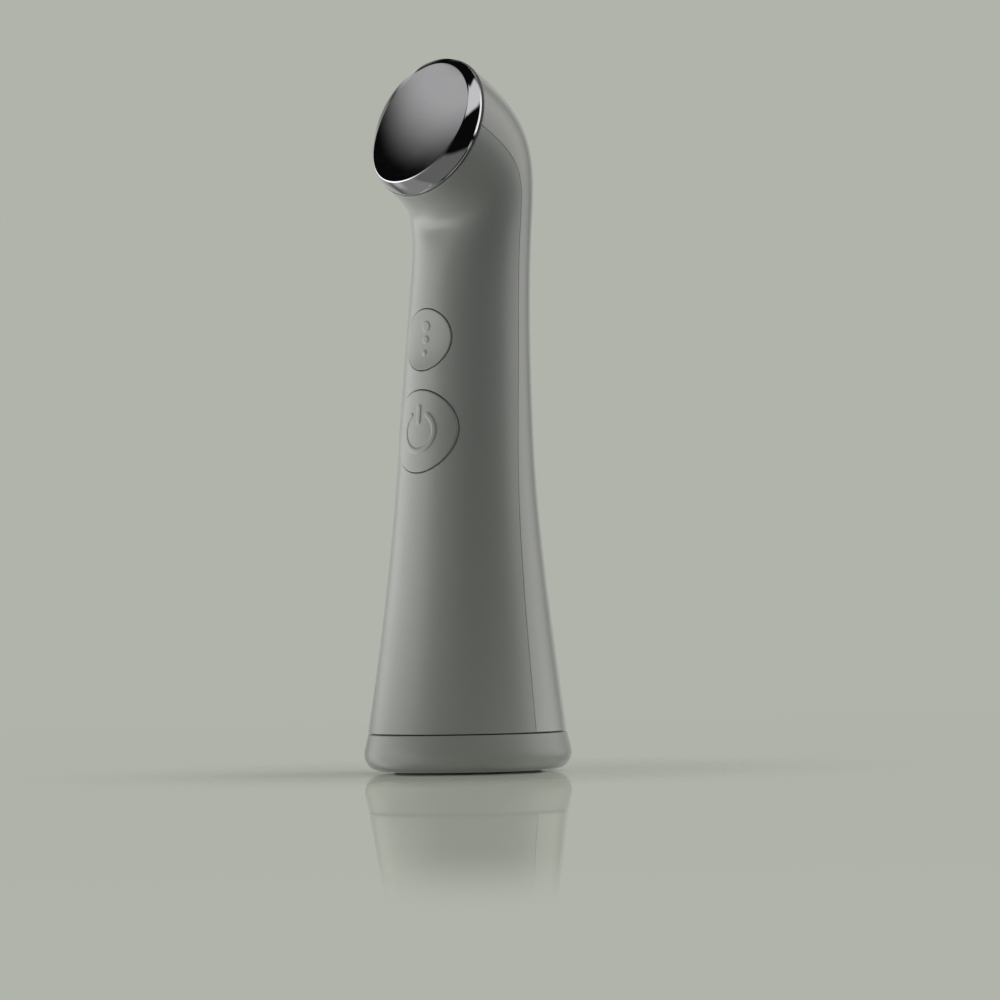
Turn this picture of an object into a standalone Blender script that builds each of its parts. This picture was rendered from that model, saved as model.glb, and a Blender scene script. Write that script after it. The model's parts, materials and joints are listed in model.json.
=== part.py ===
"""Battery-powered skincare wand: heated head, vibration motor, two buttons, pull-off base cap.

The wand stands upright on its base cap. +Z is up, the buttons and the head face -Y, and the origin
is the centre of the foot pad's lower face. Heights stack upward from the table: base cap, cells,
board with the buttons, motor, head.
"""
import math

import bmesh
import bpy
import numpy as np
from mathutils import Matrix, Vector

MM = 0.001

# Fits
SEAT_GAP = 0.3 * MM
OVERRUN = 2.0 * MM
SHELL_WALL = 1.6 * MM
PARTING_GAP = 0.3 * MM
MERGE_DISTANCE = 0.01 * MM

# Outer body, measured on its lower edge, neck and head
LOWER_EDGE_RADIUS = 20.9 * MM
NECK_RADIUS = 12.8 * MM
CROWN_HALF_DEPTH = 14.9 * MM
CROWN_HALF_WIDTH = 15.2 * MM
HEAD_RADIUS = 15.6 * MM
NECK_SETBACK = 3.8 * MM
CROWN_SETBACK = 2.6 * MM
HEAD_REACH = 8.3 * MM
HEAD_TILT = math.radians(70.5)
TILT_START_SHARE = 0.533
HEIGHT_SHARES = (0.0, 0.186, 0.407, 0.628, 0.8075, 0.929, 1.0)
FLARE_SHARES = (1.0, 0.605, 0.247, 0.056)
SPINE_SHARES = (0.0, 0.125, 0.237, 0.54)
PARTING_ANGLES = tuple(math.radians(angle) for angle in (88, 89, 92.5, 98, 96.5, 89.5, 88.5))

# Tabs on the rear half that reach past the parting line inside the front half
TAB_LENGTH = 8.0 * MM
TAB_THICKNESS = 1.2 * MM
TAB_REACH = 3.0 * MM
TAB_ROOT = 5.5 * MM
TAB_INSET = 0.7 * MM
TAB_SHARES = (0.2, 0.6)

# Base cap and foot
PAD_RADIUS = 15.5 * MM
PAD_THICKNESS = 1.2 * MM
PAD_STAND = 0.4 * MM
CAP_FLOOR = 2.0 * MM
CAP_SEAM_HEIGHT = 8.3 * MM
CAP_SEAM_GAP = 0.3 * MM
CAP_BULGE = 0.9 * MM
CAP_CORNER = 3.6 * MM
COLLAR_RISE = 4.2 * MM
COLLAR_WALL = 3.2 * MM
SEAL_SECTION_RADIUS = 0.8 * MM

# Cells and their contacts
CELL_RADIUS = 5.25 * MM
CELL_LENGTH = 44.5 * MM
NUB_RADIUS = 1.9 * MM
NUB_HEIGHT = 0.8 * MM
CELL_ROUNDING = 0.4 * MM
HOLDER_THICKNESS = 2.2 * MM
CONTACT_THICKNESS = 0.4 * MM
CONTACT_SIDE = 8.0 * MM
SPRING_LENGTH = 2.2 * MM
SPRING_RADIUS = 2.6 * MM
SPRING_WIRE_RADIUS = 0.25 * MM
SPRING_TURNS = 2.25

# Battery tray
TRAY_LIFT = 0.8 * MM
TRAY_WALL = 1.0 * MM
TRAY_WEB = 0.8 * MM
TRAY_FLANGE = 1.6 * MM
TRAY_TOP_WALL = 1.2 * MM
CELL_SLACK = 0.35 * MM

# Board and its screws
BOARD_THICKNESS = 1.6 * MM
BOARD_END_GAP = 0.6 * MM
BOARD_SIDE_GAP = 0.7 * MM
SCREW_EDGE = 2.2 * MM
SCREW_OFFSET = 6.3 * MM
SCREW_RADIUS = 0.8 * MM
SCREW_HEAD_RADIUS = 1.9 * MM
SCREW_HEAD_HEIGHT = 1.2 * MM
SCREW_GRIP = 3.4 * MM
SLOT_DEPTH = 0.6 * MM
BOSS_RADIUS = 2.25 * MM
BOARD_HEAD_LENGTH = 10.3 * MM

# Buttons and switches
POWER_RADIUS = 8.5 * MM
MODE_RADIUS = 6.3 * MM
BUTTON_GAP = 0.3 * MM
BUTTON_WEB = 3.8 * MM
BUTTON_MARGIN = 0.75 * MM
BUTTON_THICKNESS = 3.0 * MM
BUTTON_PROUD = 0.35 * MM
BUTTON_TRAVEL = 0.5 * MM
LUG_REACH = 1.0 * MM
LUG_WIDTH = 5.0 * MM
LUG_THICKNESS = 1.0 * MM
POST_RADIUS = 1.6 * MM
POST_LENGTH = 1.1 * MM
SWITCH_SIDE = 6.0 * MM
SWITCH_DEPTH = 3.5 * MM
STEM_RADIUS = 1.7 * MM
STEM_SHOW = 1.5 * MM
STEM_SINK = 1.2 * MM
MARK_HEIGHT = 0.2 * MM
POWER_MARK_RADIUS = 4.1 * MM
POWER_MARK_STROKE = 0.4 * MM
POWER_MARK_OPENING = math.radians(70)
POWER_BAR_SHARES = (0.25, 1.2)
DOT_RADII = (0.5 * MM, 0.75 * MM, 1.05 * MM)
DOT_SPACING = 2.75 * MM

# Parts on the back of the board
CHIP_SIDE = 7.0 * MM
CHIP_HEIGHT = 1.0 * MM
DRIVER_SIDE = 5.0 * MM
DRIVER_HEIGHT = 1.5 * MM
COIL_SIDE = 6.0 * MM
COIL_HEIGHT = 3.0 * MM
CAPACITOR_RADIUS = 2.5 * MM
CAPACITOR_HEIGHT = 5.4 * MM

# Motor
MOTOR_RADIUS = 5.0 * MM
MOTOR_LENGTH = 13.0 * MM
MOTOR_SETBACK = 1.2 * MM
BEARING_RADIUS = 2.0 * MM
BEARING_HEIGHT = 0.8 * MM
SHAFT_RADIUS = 0.5 * MM
SHAFT_SINK = 2.7 * MM
WEIGHT_RADIUS = 4.2 * MM
WEIGHT_LENGTH = 4.6 * MM
WEIGHT_FLAT = 1.6 * MM
BULKHEAD_HEIGHT = 7.0 * MM
BULKHEAD_FLOOR = 1.2 * MM
BULKHEAD_LIFT = 1.0 * MM
LEAD_SLOT_WIDTH = 9.0 * MM
HEAD_CLEARANCE = 0.8 * MM

# Treatment head, heights measured forward from its ring plane
HEAD_SEAM_GAP = 0.35 * MM
RING_INSET = 0.3 * MM
RING_EDGE = 0.6 * MM
FACE_SIDE_INSET = 3.0 * MM
FACE_END_INSET = 1.0 * MM
FACE_RISE = 2.2 * MM
FACE_CROWN = 0.85 * MM
FACE_DOME = 0.3 * MM
FACE_TILT = math.radians(7.3)
FACE_ROUNDING = 0.8 * MM
HEAD_WALL = 0.9 * MM
HEAD_BOSS_RADIUS = 2.1 * MM
HEAD_BOSS_SHARE = 0.58
FRAME_DEPTH = 1.3 * MM
FRAME_THICKNESS = 1.5 * MM
FRAME_WINDOW_RADIUS = 4.0 * MM
GASKET_SECTION_RADIUS = 0.45 * MM
GASKET_EASE = 0.2 * MM
HEATER_SHARE = 0.4
HEATER_THICKNESS = 0.9 * MM
PAD_FILM_THICKNESS = 0.5 * MM
BEAD_RADIUS = 1.1 * MM

# Leads
LEAD_RADIUS = 0.5 * MM
LEAD_SPREAD = 3.2 * MM
LEAD_TAIL = 5.4 * MM
BATTERY_BEND_SHARE = 0.2
BATTERY_PAD_SHARES = (0.3, 0.6)
MOTOR_BEND_SHARE = 0.3
MOTOR_PAD_SHARES = (0.3, 0.65)
HEATER_BEND_SHARE = 0.12
HEATER_PAD_SHARE = 0.2

# Mesh counts and shading
ROUND_SIDES = 40
MIDDLE_SIDES = 32
SMALL_SIDES = 16
BODY_RINGS = 26
SHELL_COLUMNS = 19
DISC_RINGS = 4
BUTTON_COLUMNS = 15
BUTTON_ROWS = 8
MARK_STEPS = 20
EDGE_SHARE = 0.006
HEAD_COLUMNS = 40
HEAD_RINGS = 4
SPRING_TURN_STEPS = 12
LEAD_STEPS = 14
PLACE_COUNT = 601
CORNER_SHARES = (0.25, 0.5, 0.25)
SHARP_ANGLE = math.radians(35)
SOFT_ANGLE = math.radians(40)

# Heights that the sizes above stack up to
SHELL_BOTTOM = CAP_SEAM_HEIGHT + CAP_SEAM_GAP / 2
CAP_SHOULDER = CAP_SEAM_HEIGHT - CAP_SEAM_GAP / 2
CAP_FLOOR_TOP = PAD_THICKNESS + SEAT_GAP + CAP_FLOOR
HOLDER_BOTTOM = CAP_FLOOR_TOP + SEAT_GAP
HOLDER_TOP = HOLDER_BOTTOM + HOLDER_THICKNESS
BRIDGE_BOTTOM = HOLDER_TOP + SEAT_GAP
BRIDGE_TOP = BRIDGE_BOTTOM + CONTACT_THICKNESS
CELL_BOTTOM = BRIDGE_TOP + SPRING_LENGTH + 2 * SEAT_GAP
CELL_TOP = CELL_BOTTOM + CELL_LENGTH
PLATE_BOTTOM = CELL_TOP + SPRING_LENGTH + 2 * SEAT_GAP
PLATE_TOP = PLATE_BOTTOM + CONTACT_THICKNESS
COLLAR_TOP = CAP_SEAM_HEIGHT + COLLAR_RISE
TRAY_BOTTOM = COLLAR_TOP + TRAY_LIFT
TRAY_CEILING = PLATE_TOP + SEAT_GAP
TRAY_TOP = TRAY_CEILING + TRAY_TOP_WALL
BOARD_BOTTOM = TRAY_TOP + BOARD_END_GAP
LOWER_SCREW_HEIGHT = BOARD_BOTTOM + SCREW_EDGE
POWER_HOLE_RADIUS = POWER_RADIUS + BUTTON_GAP
MODE_HOLE_RADIUS = MODE_RADIUS + BUTTON_GAP
SCREW_TO_BUTTON = POWER_HOLE_RADIUS + BOSS_RADIUS + BUTTON_MARGIN
POWER_HEIGHT = LOWER_SCREW_HEIGHT + math.sqrt(SCREW_TO_BUTTON ** 2 - SCREW_OFFSET ** 2)
MODE_HEIGHT = POWER_HEIGHT + POWER_HOLE_RADIUS + BUTTON_WEB + MODE_HOLE_RADIUS
UPPER_SCREW_HEIGHT = MODE_HEIGHT + MODE_HOLE_RADIUS + LUG_REACH + BUTTON_MARGIN + BOSS_RADIUS
BOARD_TOP = UPPER_SCREW_HEIGHT + BOARD_HEAD_LENGTH
BULKHEAD_BOTTOM = BOARD_TOP + BULKHEAD_LIFT
BULKHEAD_TOP = BULKHEAD_BOTTOM + BULKHEAD_HEIGHT
MOTOR_BOTTOM = BULKHEAD_BOTTOM + BULKHEAD_FLOOR + SEAT_GAP
MOTOR_TOP = MOTOR_BOTTOM + MOTOR_LENGTH
WEIGHT_BOTTOM = MOTOR_TOP + BEARING_HEIGHT + SEAT_GAP
HEAD_HEIGHT = BULKHEAD_TOP + HEAD_CLEARANCE + HEAD_RADIUS * math.sin(HEAD_TILT)

# Sizes across the head
RING_RADIUS = HEAD_RADIUS - RING_INSET
FACE_HALF_WIDTH = RING_RADIUS - FACE_SIDE_INSET
FACE_HALF_HEIGHT = RING_RADIUS - FACE_END_INSET
HEAD_BOSS_OFFSET = RING_RADIUS * HEAD_BOSS_SHARE
HEATER_RADIUS = RING_RADIUS * HEATER_SHARE

FORWARD = Vector((0, -1, 0))
SIDE = Vector((1, 0, 0))
UP = Vector((0, 0, 1))
HEAD_FORWARD = Vector((0, -math.sin(HEAD_TILT), math.cos(HEAD_TILT)))
HEAD_UP = Vector((0, math.cos(HEAD_TILT), math.sin(HEAD_TILT)))


# Body surface

def natural_spline(values):
    """Return the smooth curve that passes through values at 0, 1, 2 and so on."""
    values = np.asarray(values, dtype=float)
    inner = len(values) - 2
    system = 4 * np.eye(inner) + np.eye(inner, k=1) + np.eye(inner, k=-1)
    bend = np.zeros(len(values))
    bend[1:-1] = np.linalg.solve(system, 6 * np.diff(values, 2))

    def curve(place):
        index = min(int(place), len(values) - 2)
        after = place - index
        before = 1 - after
        straight = before * values[index] + after * values[index + 1]
        curved = (before ** 3 - before) * bend[index] + (after ** 3 - after) * bend[index + 1]
        return float(straight + curved / 6)

    return curve


def smooth_step(value):
    """Rise from 0 to 1 with level ends."""
    value = min(max(value, 0), 1)
    return value * value * (3 - 2 * value)


STATIONS = len(HEIGHT_SHARES) - 1
FLARE = LOWER_EDGE_RADIUS - NECK_RADIUS
HANDLE_RADII = [NECK_RADIUS + FLARE * share for share in FLARE_SHARES]
HANDLE_SPINE = [NECK_SETBACK * share for share in SPINE_SHARES]
BODY_HEIGHT = natural_spline(
    [SHELL_BOTTOM + (HEAD_HEIGHT - SHELL_BOTTOM) * share for share in HEIGHT_SHARES])
BODY_SPINE = natural_spline(HANDLE_SPINE + [NECK_SETBACK, CROWN_SETBACK, -HEAD_REACH])
BODY_HALF_DEPTH = natural_spline(HANDLE_RADII + [NECK_RADIUS, CROWN_HALF_DEPTH, HEAD_RADIUS])
BODY_HALF_WIDTH = natural_spline(HANDLE_RADII + [NECK_RADIUS, CROWN_HALF_WIDTH, HEAD_RADIUS])
BODY_PARTING = natural_spline(PARTING_ANGLES)


def body_centre(place):
    """Centre of the body's section at a place from 0 at the lower edge to STATIONS at the head."""
    return Vector((0, BODY_SPINE(place), BODY_HEIGHT(place)))


def body_back(place):
    """Unit vector from the section's centre to its back: level in the handle, steep at the head."""
    share = place / STATIONS
    turn = smooth_step((share - TILT_START_SHARE) / (1 - TILT_START_SHARE))
    return Vector((0, math.cos(HEAD_TILT * turn), math.sin(HEAD_TILT * turn)))


def body_point(place, angle, inward=0):
    """Point on the body, at an angle round it from the front towards +X, moved inward."""
    width = BODY_HALF_WIDTH(place) - inward
    depth = BODY_HALF_DEPTH(place) - inward
    return (body_centre(place) + width * math.sin(angle) * SIDE
            - depth * math.cos(angle) * body_back(place))


def body_inside(place, angle, depth):
    """Point a depth under the body's surface, square to it."""
    step = 1 / BODY_RINGS
    low, high = max(place - step, 0), min(place + step, STATIONS)
    along = body_point(high, angle) - body_point(low, angle)
    around = body_point(place, angle + step) - body_point(place, angle - step)
    return body_point(place, angle) - depth * around.cross(along).normalized()


PLACES = np.linspace(0, STATIONS, PLACE_COUNT)
PLACE_HEIGHTS = [BODY_HEIGHT(place) for place in PLACES]


def place_at(height):
    """Place of the section whose centre is at a height."""
    return float(np.interp(height, PLACE_HEIGHTS, PLACES))


def place_behind_head(depth):
    """Place of the section that lies a depth behind the head end of the shell."""
    end = body_centre(STATIONS)
    depths = [(end - body_centre(place)).dot(HEAD_FORWARD) for place in PLACES]
    return float(np.interp(depth, depths[::-1], PLACES[::-1]))


def radius_at(height):
    return BODY_HALF_DEPTH(place_at(height))


def spine_at(height):
    return BODY_SPINE(place_at(height))


def front_at(height, across=0, inward=0):
    """The body's front face at a height and a distance across, as a place along Y."""
    radius = radius_at(height) - inward
    return spine_at(height) - math.sqrt(radius ** 2 - across ** 2)


CELL_LINE = spine_at((TRAY_BOTTOM + TRAY_TOP) / 2)
BORE_RADIUS = CELL_RADIUS + CELL_SLACK
CELL_OFFSET = BORE_RADIUS + TRAY_WEB / 2
BUTTON_BACK = front_at(MODE_HEIGHT) - BUTTON_PROUD + BUTTON_THICKNESS
STEM_FRONT = BUTTON_BACK + POST_LENGTH + SEAT_GAP
SWITCH_FRONT = STEM_FRONT + STEM_SHOW
BOARD_FRONT = SWITCH_FRONT + SWITCH_DEPTH + SEAT_GAP
BOARD_BACK = BOARD_FRONT + BOARD_THICKNESS
MOTOR_LINE = spine_at(BULKHEAD_BOTTOM) + MOTOR_SETBACK
SHELL_END = body_centre(STATIONS)
RING_CENTRE = SHELL_END + HEAD_SEAM_GAP * HEAD_FORWARD
FRAME_TOP = HEAD_SEAM_GAP + FRAME_DEPTH


# Scene, materials and basic shapes

def clear_scene():
    for item in list(bpy.data.objects):
        bpy.data.objects.remove(item, do_unlink=True)


def new_collection(name):
    collection = bpy.data.collections.new(name)
    bpy.context.scene.collection.children.link(collection)
    return collection


def make_material(name, colour, roughness, metallic=0.0):
    material = bpy.data.materials.new(name)
    material.use_nodes = True
    shader = material.node_tree.nodes["Principled BSDF"]
    shader.inputs["Base Color"].default_value = (*colour, 1.0)
    shader.inputs["Roughness"].default_value = roughness
    shader.inputs["Metallic"].default_value = metallic
    return material


clear_scene()
PARTS = new_collection("skincare_wand")
CUTTERS = new_collection("cutters")


def add_part(name, mesh, material, matrix=None):
    """Put a mesh into the model as a named sub-part."""
    mesh.materials.clear()
    mesh.materials.append(material)
    mesh.shade_smooth()
    mesh.set_sharp_from_angle(angle=SHARP_ANGLE)
    part = bpy.data.objects.new(name, mesh)
    part.matrix_world = matrix or Matrix.Identity(4)
    PARTS.objects.link(part)
    return part


def add_cutter(name, mesh, matrix=None):
    """Put a mesh among the shapes that only cut or join others."""
    cutter = bpy.data.objects.new(name, mesh)
    cutter.matrix_world = matrix or Matrix.Identity(4)
    cutter.hide_render = True
    cutter.display_type = "WIRE"
    CUTTERS.objects.link(cutter)
    return cutter


def combine(part, cutter, operation):
    modifier = part.modifiers.new(operation.lower() + "_" + cutter.name, "BOOLEAN")
    modifier.operation = operation
    modifier.object = cutter


def placed(origin, axis=UP):
    """Matrix that stands a shape's own Z along an axis at an origin, with its X along +X."""
    across = axis.cross(SIDE)
    turn = Matrix((SIDE, across, axis)).transposed()
    return Matrix.Translation(origin) @ turn.to_4x4()


def mesh_from(shape, name):
    bmesh.ops.recalc_face_normals(shape, faces=shape.faces)
    mesh = bpy.data.meshes.new(name)
    shape.to_mesh(mesh)
    shape.free()
    return mesh


def box_mesh(name, width, depth, height):
    """A box centred on its origin across and standing on it."""
    shape = bmesh.new()
    bmesh.ops.create_cube(shape, size=1)
    bmesh.ops.scale(shape, vec=(width, depth, height), verts=shape.verts)
    bmesh.ops.translate(shape, vec=(0, 0, height / 2), verts=shape.verts)
    return mesh_from(shape, name)


def cylinder_mesh(name, radius, height, sides=SMALL_SIDES):
    """A cylinder standing on its origin."""
    shape = bmesh.new()
    bmesh.ops.create_cone(shape, cap_ends=True, segments=sides, radius1=radius, radius2=radius,
                          depth=height)
    bmesh.ops.translate(shape, vec=(0, 0, height / 2), verts=shape.verts)
    return mesh_from(shape, name)


def ring_mesh(name, radius, section_radius, sides=ROUND_SIDES, section_sides=8):
    """A torus round its own Z."""
    shape = bmesh.new()
    rings = []
    for step in range(sides):
        turn = math.tau * step / sides
        ring = []
        for part_step in range(section_sides):
            roll = math.tau * part_step / section_sides
            reach = radius + section_radius * math.cos(roll)
            rise = section_radius * math.sin(roll)
            ring.append(shape.verts.new((reach * math.cos(turn), reach * math.sin(turn), rise)))
        rings.append(ring)
    for step in range(sides):
        here, there = rings[step], rings[(step + 1) % sides]
        for part_step in range(section_sides):
            after = (part_step + 1) % section_sides
            shape.faces.new((here[part_step], there[part_step], there[after], here[after]))
    return mesh_from(shape, name)


def soften(part, width, segments=2):
    """Round a part's sharp edges."""
    modifier = part.modifiers.new("soft_edges", "BEVEL")
    modifier.width = width
    modifier.segments = segments
    modifier.limit_method = "ANGLE"
    modifier.angle_limit = SOFT_ANGLE
    return part


def turned_part(name, profile, material, matrix=None, sides=ROUND_SIDES):
    """A turned part: a profile of radius and height pairs, top to bottom on its outer side."""
    mesh = bpy.data.meshes.new(name)
    points = [(radius, 0, height) for radius, height in profile]
    mesh.from_pydata(points, [(step, step + 1) for step in range(len(points) - 1)], [])
    part = add_part(name, mesh, material, matrix)
    screw = part.modifiers.new("turn", "SCREW")
    screw.steps = sides
    screw.render_steps = sides
    screw.use_merge_vertices = True
    screw.merge_threshold = MERGE_DISTANCE
    screw.use_smooth_shade = True
    return part


def arc(centre, radius, first, last, steps):
    """Points of an arc in a profile, with angles in degrees from straight out, counter-clockwise."""
    angles = [math.radians(first + (last - first) * step / steps) for step in range(steps + 1)]
    return [(centre[0] + radius * math.cos(angle), centre[1] + radius * math.sin(angle))
            for angle in angles]


def tube_part(name, points, radius, material):
    """A wire along points, as a curve with filled caps."""
    curve = bpy.data.curves.new(name, "CURVE")
    curve.dimensions = "3D"
    curve.bevel_depth = radius
    curve.bevel_resolution = 2
    curve.use_fill_caps = True
    spline = curve.splines.new("POLY")
    spline.points.add(len(points) - 1)
    for target, point in zip(spline.points, points):
        target.co = (*point, 1)
    curve.materials.append(material)
    wire = bpy.data.objects.new(name, curve)
    PARTS.objects.link(wire)
    return wire


def loft_mesh(name, rings, first_pole=None, last_pole=None):
    """Skin rings of points in turn, and close each end with a pole or one flat face."""
    shape = bmesh.new()
    rows = [[shape.verts.new(point) for point in ring] for ring in rings]
    for lower, upper in zip(rows, rows[1:]):
        for step in range(len(lower)):
            after = (step + 1) % len(lower)
            shape.faces.new((lower[step], lower[after], upper[after], upper[step]))
    for row, pole in ((rows[0], first_pole), (rows[-1], last_pole)):
        if pole is None:
            shape.faces.new(row)
            continue
        tip = shape.verts.new(pole)
        for step in range(len(row)):
            shape.faces.new((row[step], row[(step + 1) % len(row)], tip))
    return mesh_from(shape, name)


def inner_lines(depth):
    """Lines up the body's inner side at even angles, a depth under its surface."""
    angles = [math.tau * step / ROUND_SIDES for step in range(ROUND_SIDES)]
    places = np.linspace(0, STATIONS, 2 * BODY_RINGS + 1)
    return [[body_inside(place, angle, depth) for place in places] for angle in angles]


def inner_cutter(name, depth):
    """The space inside the body, a depth under its surface."""
    rings = list(zip(*inner_lines(depth)))[::2]
    return add_cutter(name, loft_mesh(name, rings))


def level_disc_mesh(name, depth, low, high):
    """A solid that fills the body between two levels, a depth under its surface."""
    lines = []
    for line in inner_lines(depth):
        top = max(range(len(line)), key=lambda step: line[step].z)
        lines.append(np.array(line[:top + 1]))
    rings = []
    for level in np.linspace(low, high, DISC_RINGS + 1):
        rings.append([Vector((np.interp(level, line[:, 2], line[:, 0]),
                              np.interp(level, line[:, 2], line[:, 1]), level)) for line in lines])
    return loft_mesh(name, rings)


def shell_patch_mesh(name, first, last, columns, outward, low_place=0, high_place=STATIONS,
                     rows=BODY_RINGS):
    """An open patch of the body between two angles, each a function of the place.

    A narrow column along each edge keeps the wall square to the body there.
    """
    shape = bmesh.new()
    shares = [0, EDGE_SHARE] + [step / columns for step in range(1, columns)] + [1 - EDGE_SHARE, 1]
    grid = []
    for place in np.linspace(low_place, high_place, rows + 1):
        start, end = first(place), last(place)
        angles = [start + (end - start) * share for share in shares]
        grid.append([shape.verts.new(body_point(place, angle, -outward)) for angle in angles])
    for lower, upper in zip(grid, grid[1:]):
        for step in range(len(shares) - 1):
            shape.faces.new((lower[step], lower[step + 1], upper[step + 1], upper[step]))
    mesh = bpy.data.meshes.new(name)
    shape.to_mesh(mesh)
    shape.free()
    return mesh


def thicken(part, thickness):
    """Give an open patch a wall on its inner side."""
    modifier = part.modifiers.new("wall", "SOLIDIFY")
    modifier.thickness = thickness
    modifier.offset = -1
    modifier.use_even_offset = True
    modifier.use_quality_normals = True


# Materials

FRONT_WHITE = make_material("pearl_silver", (0.55, 0.55, 0.54), 0.32, 0.1)
REAR_WHITE = make_material("pearl_silver_rear", (0.60, 0.60, 0.59), 0.25, 0.1)
CHROME = make_material("polished_chrome", (0.80, 0.80, 0.82), 0.06, 1.0)
BLACK_RUBBER = make_material("black_rubber", (0.03, 0.03, 0.03), 0.8)
BLACK_PLASTIC = make_material("black_plastic", (0.04, 0.04, 0.045), 0.5)
GREY_PLASTIC = make_material("grey_plastic", (0.25, 0.26, 0.27), 0.5)
NICKEL = make_material("nickel_plate", (0.65, 0.62, 0.56), 0.3, 1.0)
STEEL = make_material("steel", (0.55, 0.55, 0.56), 0.35, 1.0)
CELL_SLEEVE = make_material("cell_sleeve", (0.10, 0.22, 0.30), 0.35)
BOARD_GREEN = make_material("board_green", (0.02, 0.16, 0.07), 0.4)
CHIP_BLACK = make_material("chip_black", (0.02, 0.02, 0.02), 0.45)
SWITCH_BROWN = make_material("switch_stem_brown", (0.28, 0.16, 0.07), 0.5)
TUNGSTEN = make_material("sintered_weight", (0.28, 0.28, 0.30), 0.5, 1.0)
FERRITE = make_material("ferrite", (0.09, 0.09, 0.10), 0.6)
HEATER_CERAMIC = make_material("heater_ceramic", (0.75, 0.73, 0.68), 0.6)
THERMAL_GREY = make_material("thermal_pad_grey", (0.42, 0.46, 0.52), 0.8)
BEAD_AMBER = make_material("bead_amber", (0.35, 0.14, 0.03), 0.3)
RED_WIRE = make_material("red_lead", (0.55, 0.03, 0.02), 0.5)
DARK_WIRE = make_material("black_lead", (0.02, 0.02, 0.02), 0.5)


# Shell

def button_hole(name, radius, height):
    mesh = cylinder_mesh(name, radius, radius_at(height) + OVERRUN, ROUND_SIDES)
    return add_cutter(name, mesh, placed(Vector((0, spine_at(height), height)), FORWARD))


def screw_places():
    """Board screws: a name, a place across and a height."""
    return (("left", -SCREW_OFFSET, LOWER_SCREW_HEIGHT),
            ("right", SCREW_OFFSET, LOWER_SCREW_HEIGHT),
            ("top", 0, UPPER_SCREW_HEIGHT))


def front_shell():
    def edge(place):
        return BODY_PARTING(place) - PARTING_GAP / 2 / BODY_HALF_WIDTH(place)

    mesh = shell_patch_mesh("front_shell", lambda place: -edge(place), edge, SHELL_COLUMNS, 0)
    shell = add_part("front_shell", mesh, FRONT_WHITE)
    thicken(shell, SHELL_WALL)
    combine(shell, button_hole("power_hole", POWER_HOLE_RADIUS, POWER_HEIGHT), "DIFFERENCE")
    combine(shell, button_hole("mode_hole", MODE_HOLE_RADIUS, MODE_HEIGHT), "DIFFERENCE")
    for name, across, height in screw_places():
        foot = Vector((across, BOARD_FRONT - SEAT_GAP, height))
        length = foot.y - front_at(height)
        boss = add_cutter("boss_" + name, cylinder_mesh("boss", BOSS_RADIUS, length),
                          placed(foot, FORWARD))
        combine(boss, CUTTERS.objects["wall_middle"], "INTERSECT")
        combine(shell, boss, "UNION")
        depth = SCREW_GRIP + SEAT_GAP + OVERRUN
        pilot_mesh = cylinder_mesh("pilot", SCREW_RADIUS + SEAT_GAP, depth)
        pilot = add_cutter("pilot_" + name, pilot_mesh,
                           placed(foot - OVERRUN * FORWARD, FORWARD))
        combine(shell, pilot, "DIFFERENCE")
    return shell


def rear_shell():
    def start(place):
        return BODY_PARTING(place) + PARTING_GAP / 2 / BODY_HALF_WIDTH(place)

    mesh = shell_patch_mesh("rear_shell", start, lambda place: math.tau - start(place),
                            SHELL_COLUMNS, 0)
    shell = add_part("rear_shell", mesh, REAR_WHITE)
    thicken(shell, SHELL_WALL)
    for share in TAB_SHARES:
        height = SHELL_BOTTOM + (HEAD_HEIGHT - SHELL_BOTTOM) * share
        place = place_at(height)
        parting = body_point(place, BODY_PARTING(place))
        inner = radius_at(height + TAB_LENGTH / 2) - SHELL_WALL
        for name, side in (("left", -1), ("right", 1)):
            across = side * (inner - TAB_INSET - TAB_THICKNESS / 2)
            middle = parting.y + (TAB_ROOT - TAB_REACH) / 2
            tab_mesh = box_mesh("tab", TAB_THICKNESS, TAB_ROOT + TAB_REACH, TAB_LENGTH)
            origin = Vector((across, middle, height - TAB_LENGTH / 2))
            tab = add_cutter(f"tab_{name}_{share}", tab_mesh, Matrix.Translation(origin))
            combine(shell, tab, "UNION")
    return shell


# Base cap and what it carries

COLLAR_RADIUS = radius_at(COLLAR_TOP) - SHELL_WALL - SEAT_GAP
SEAL_HEIGHT = (CAP_SHOULDER + COLLAR_TOP) / 2
SEAL_RADIUS = radius_at(SEAL_HEIGHT + SEAL_SECTION_RADIUS) - SHELL_WALL - SEAT_GAP - SEAL_SECTION_RADIUS
GROOVE_RADIUS = SEAL_RADIUS - SEAL_SECTION_RADIUS - SEAT_GAP
GROOVE_HALF_HEIGHT = SEAL_SECTION_RADIUS + SEAT_GAP
CAVITY_RADIUS = COLLAR_RADIUS - COLLAR_WALL


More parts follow.
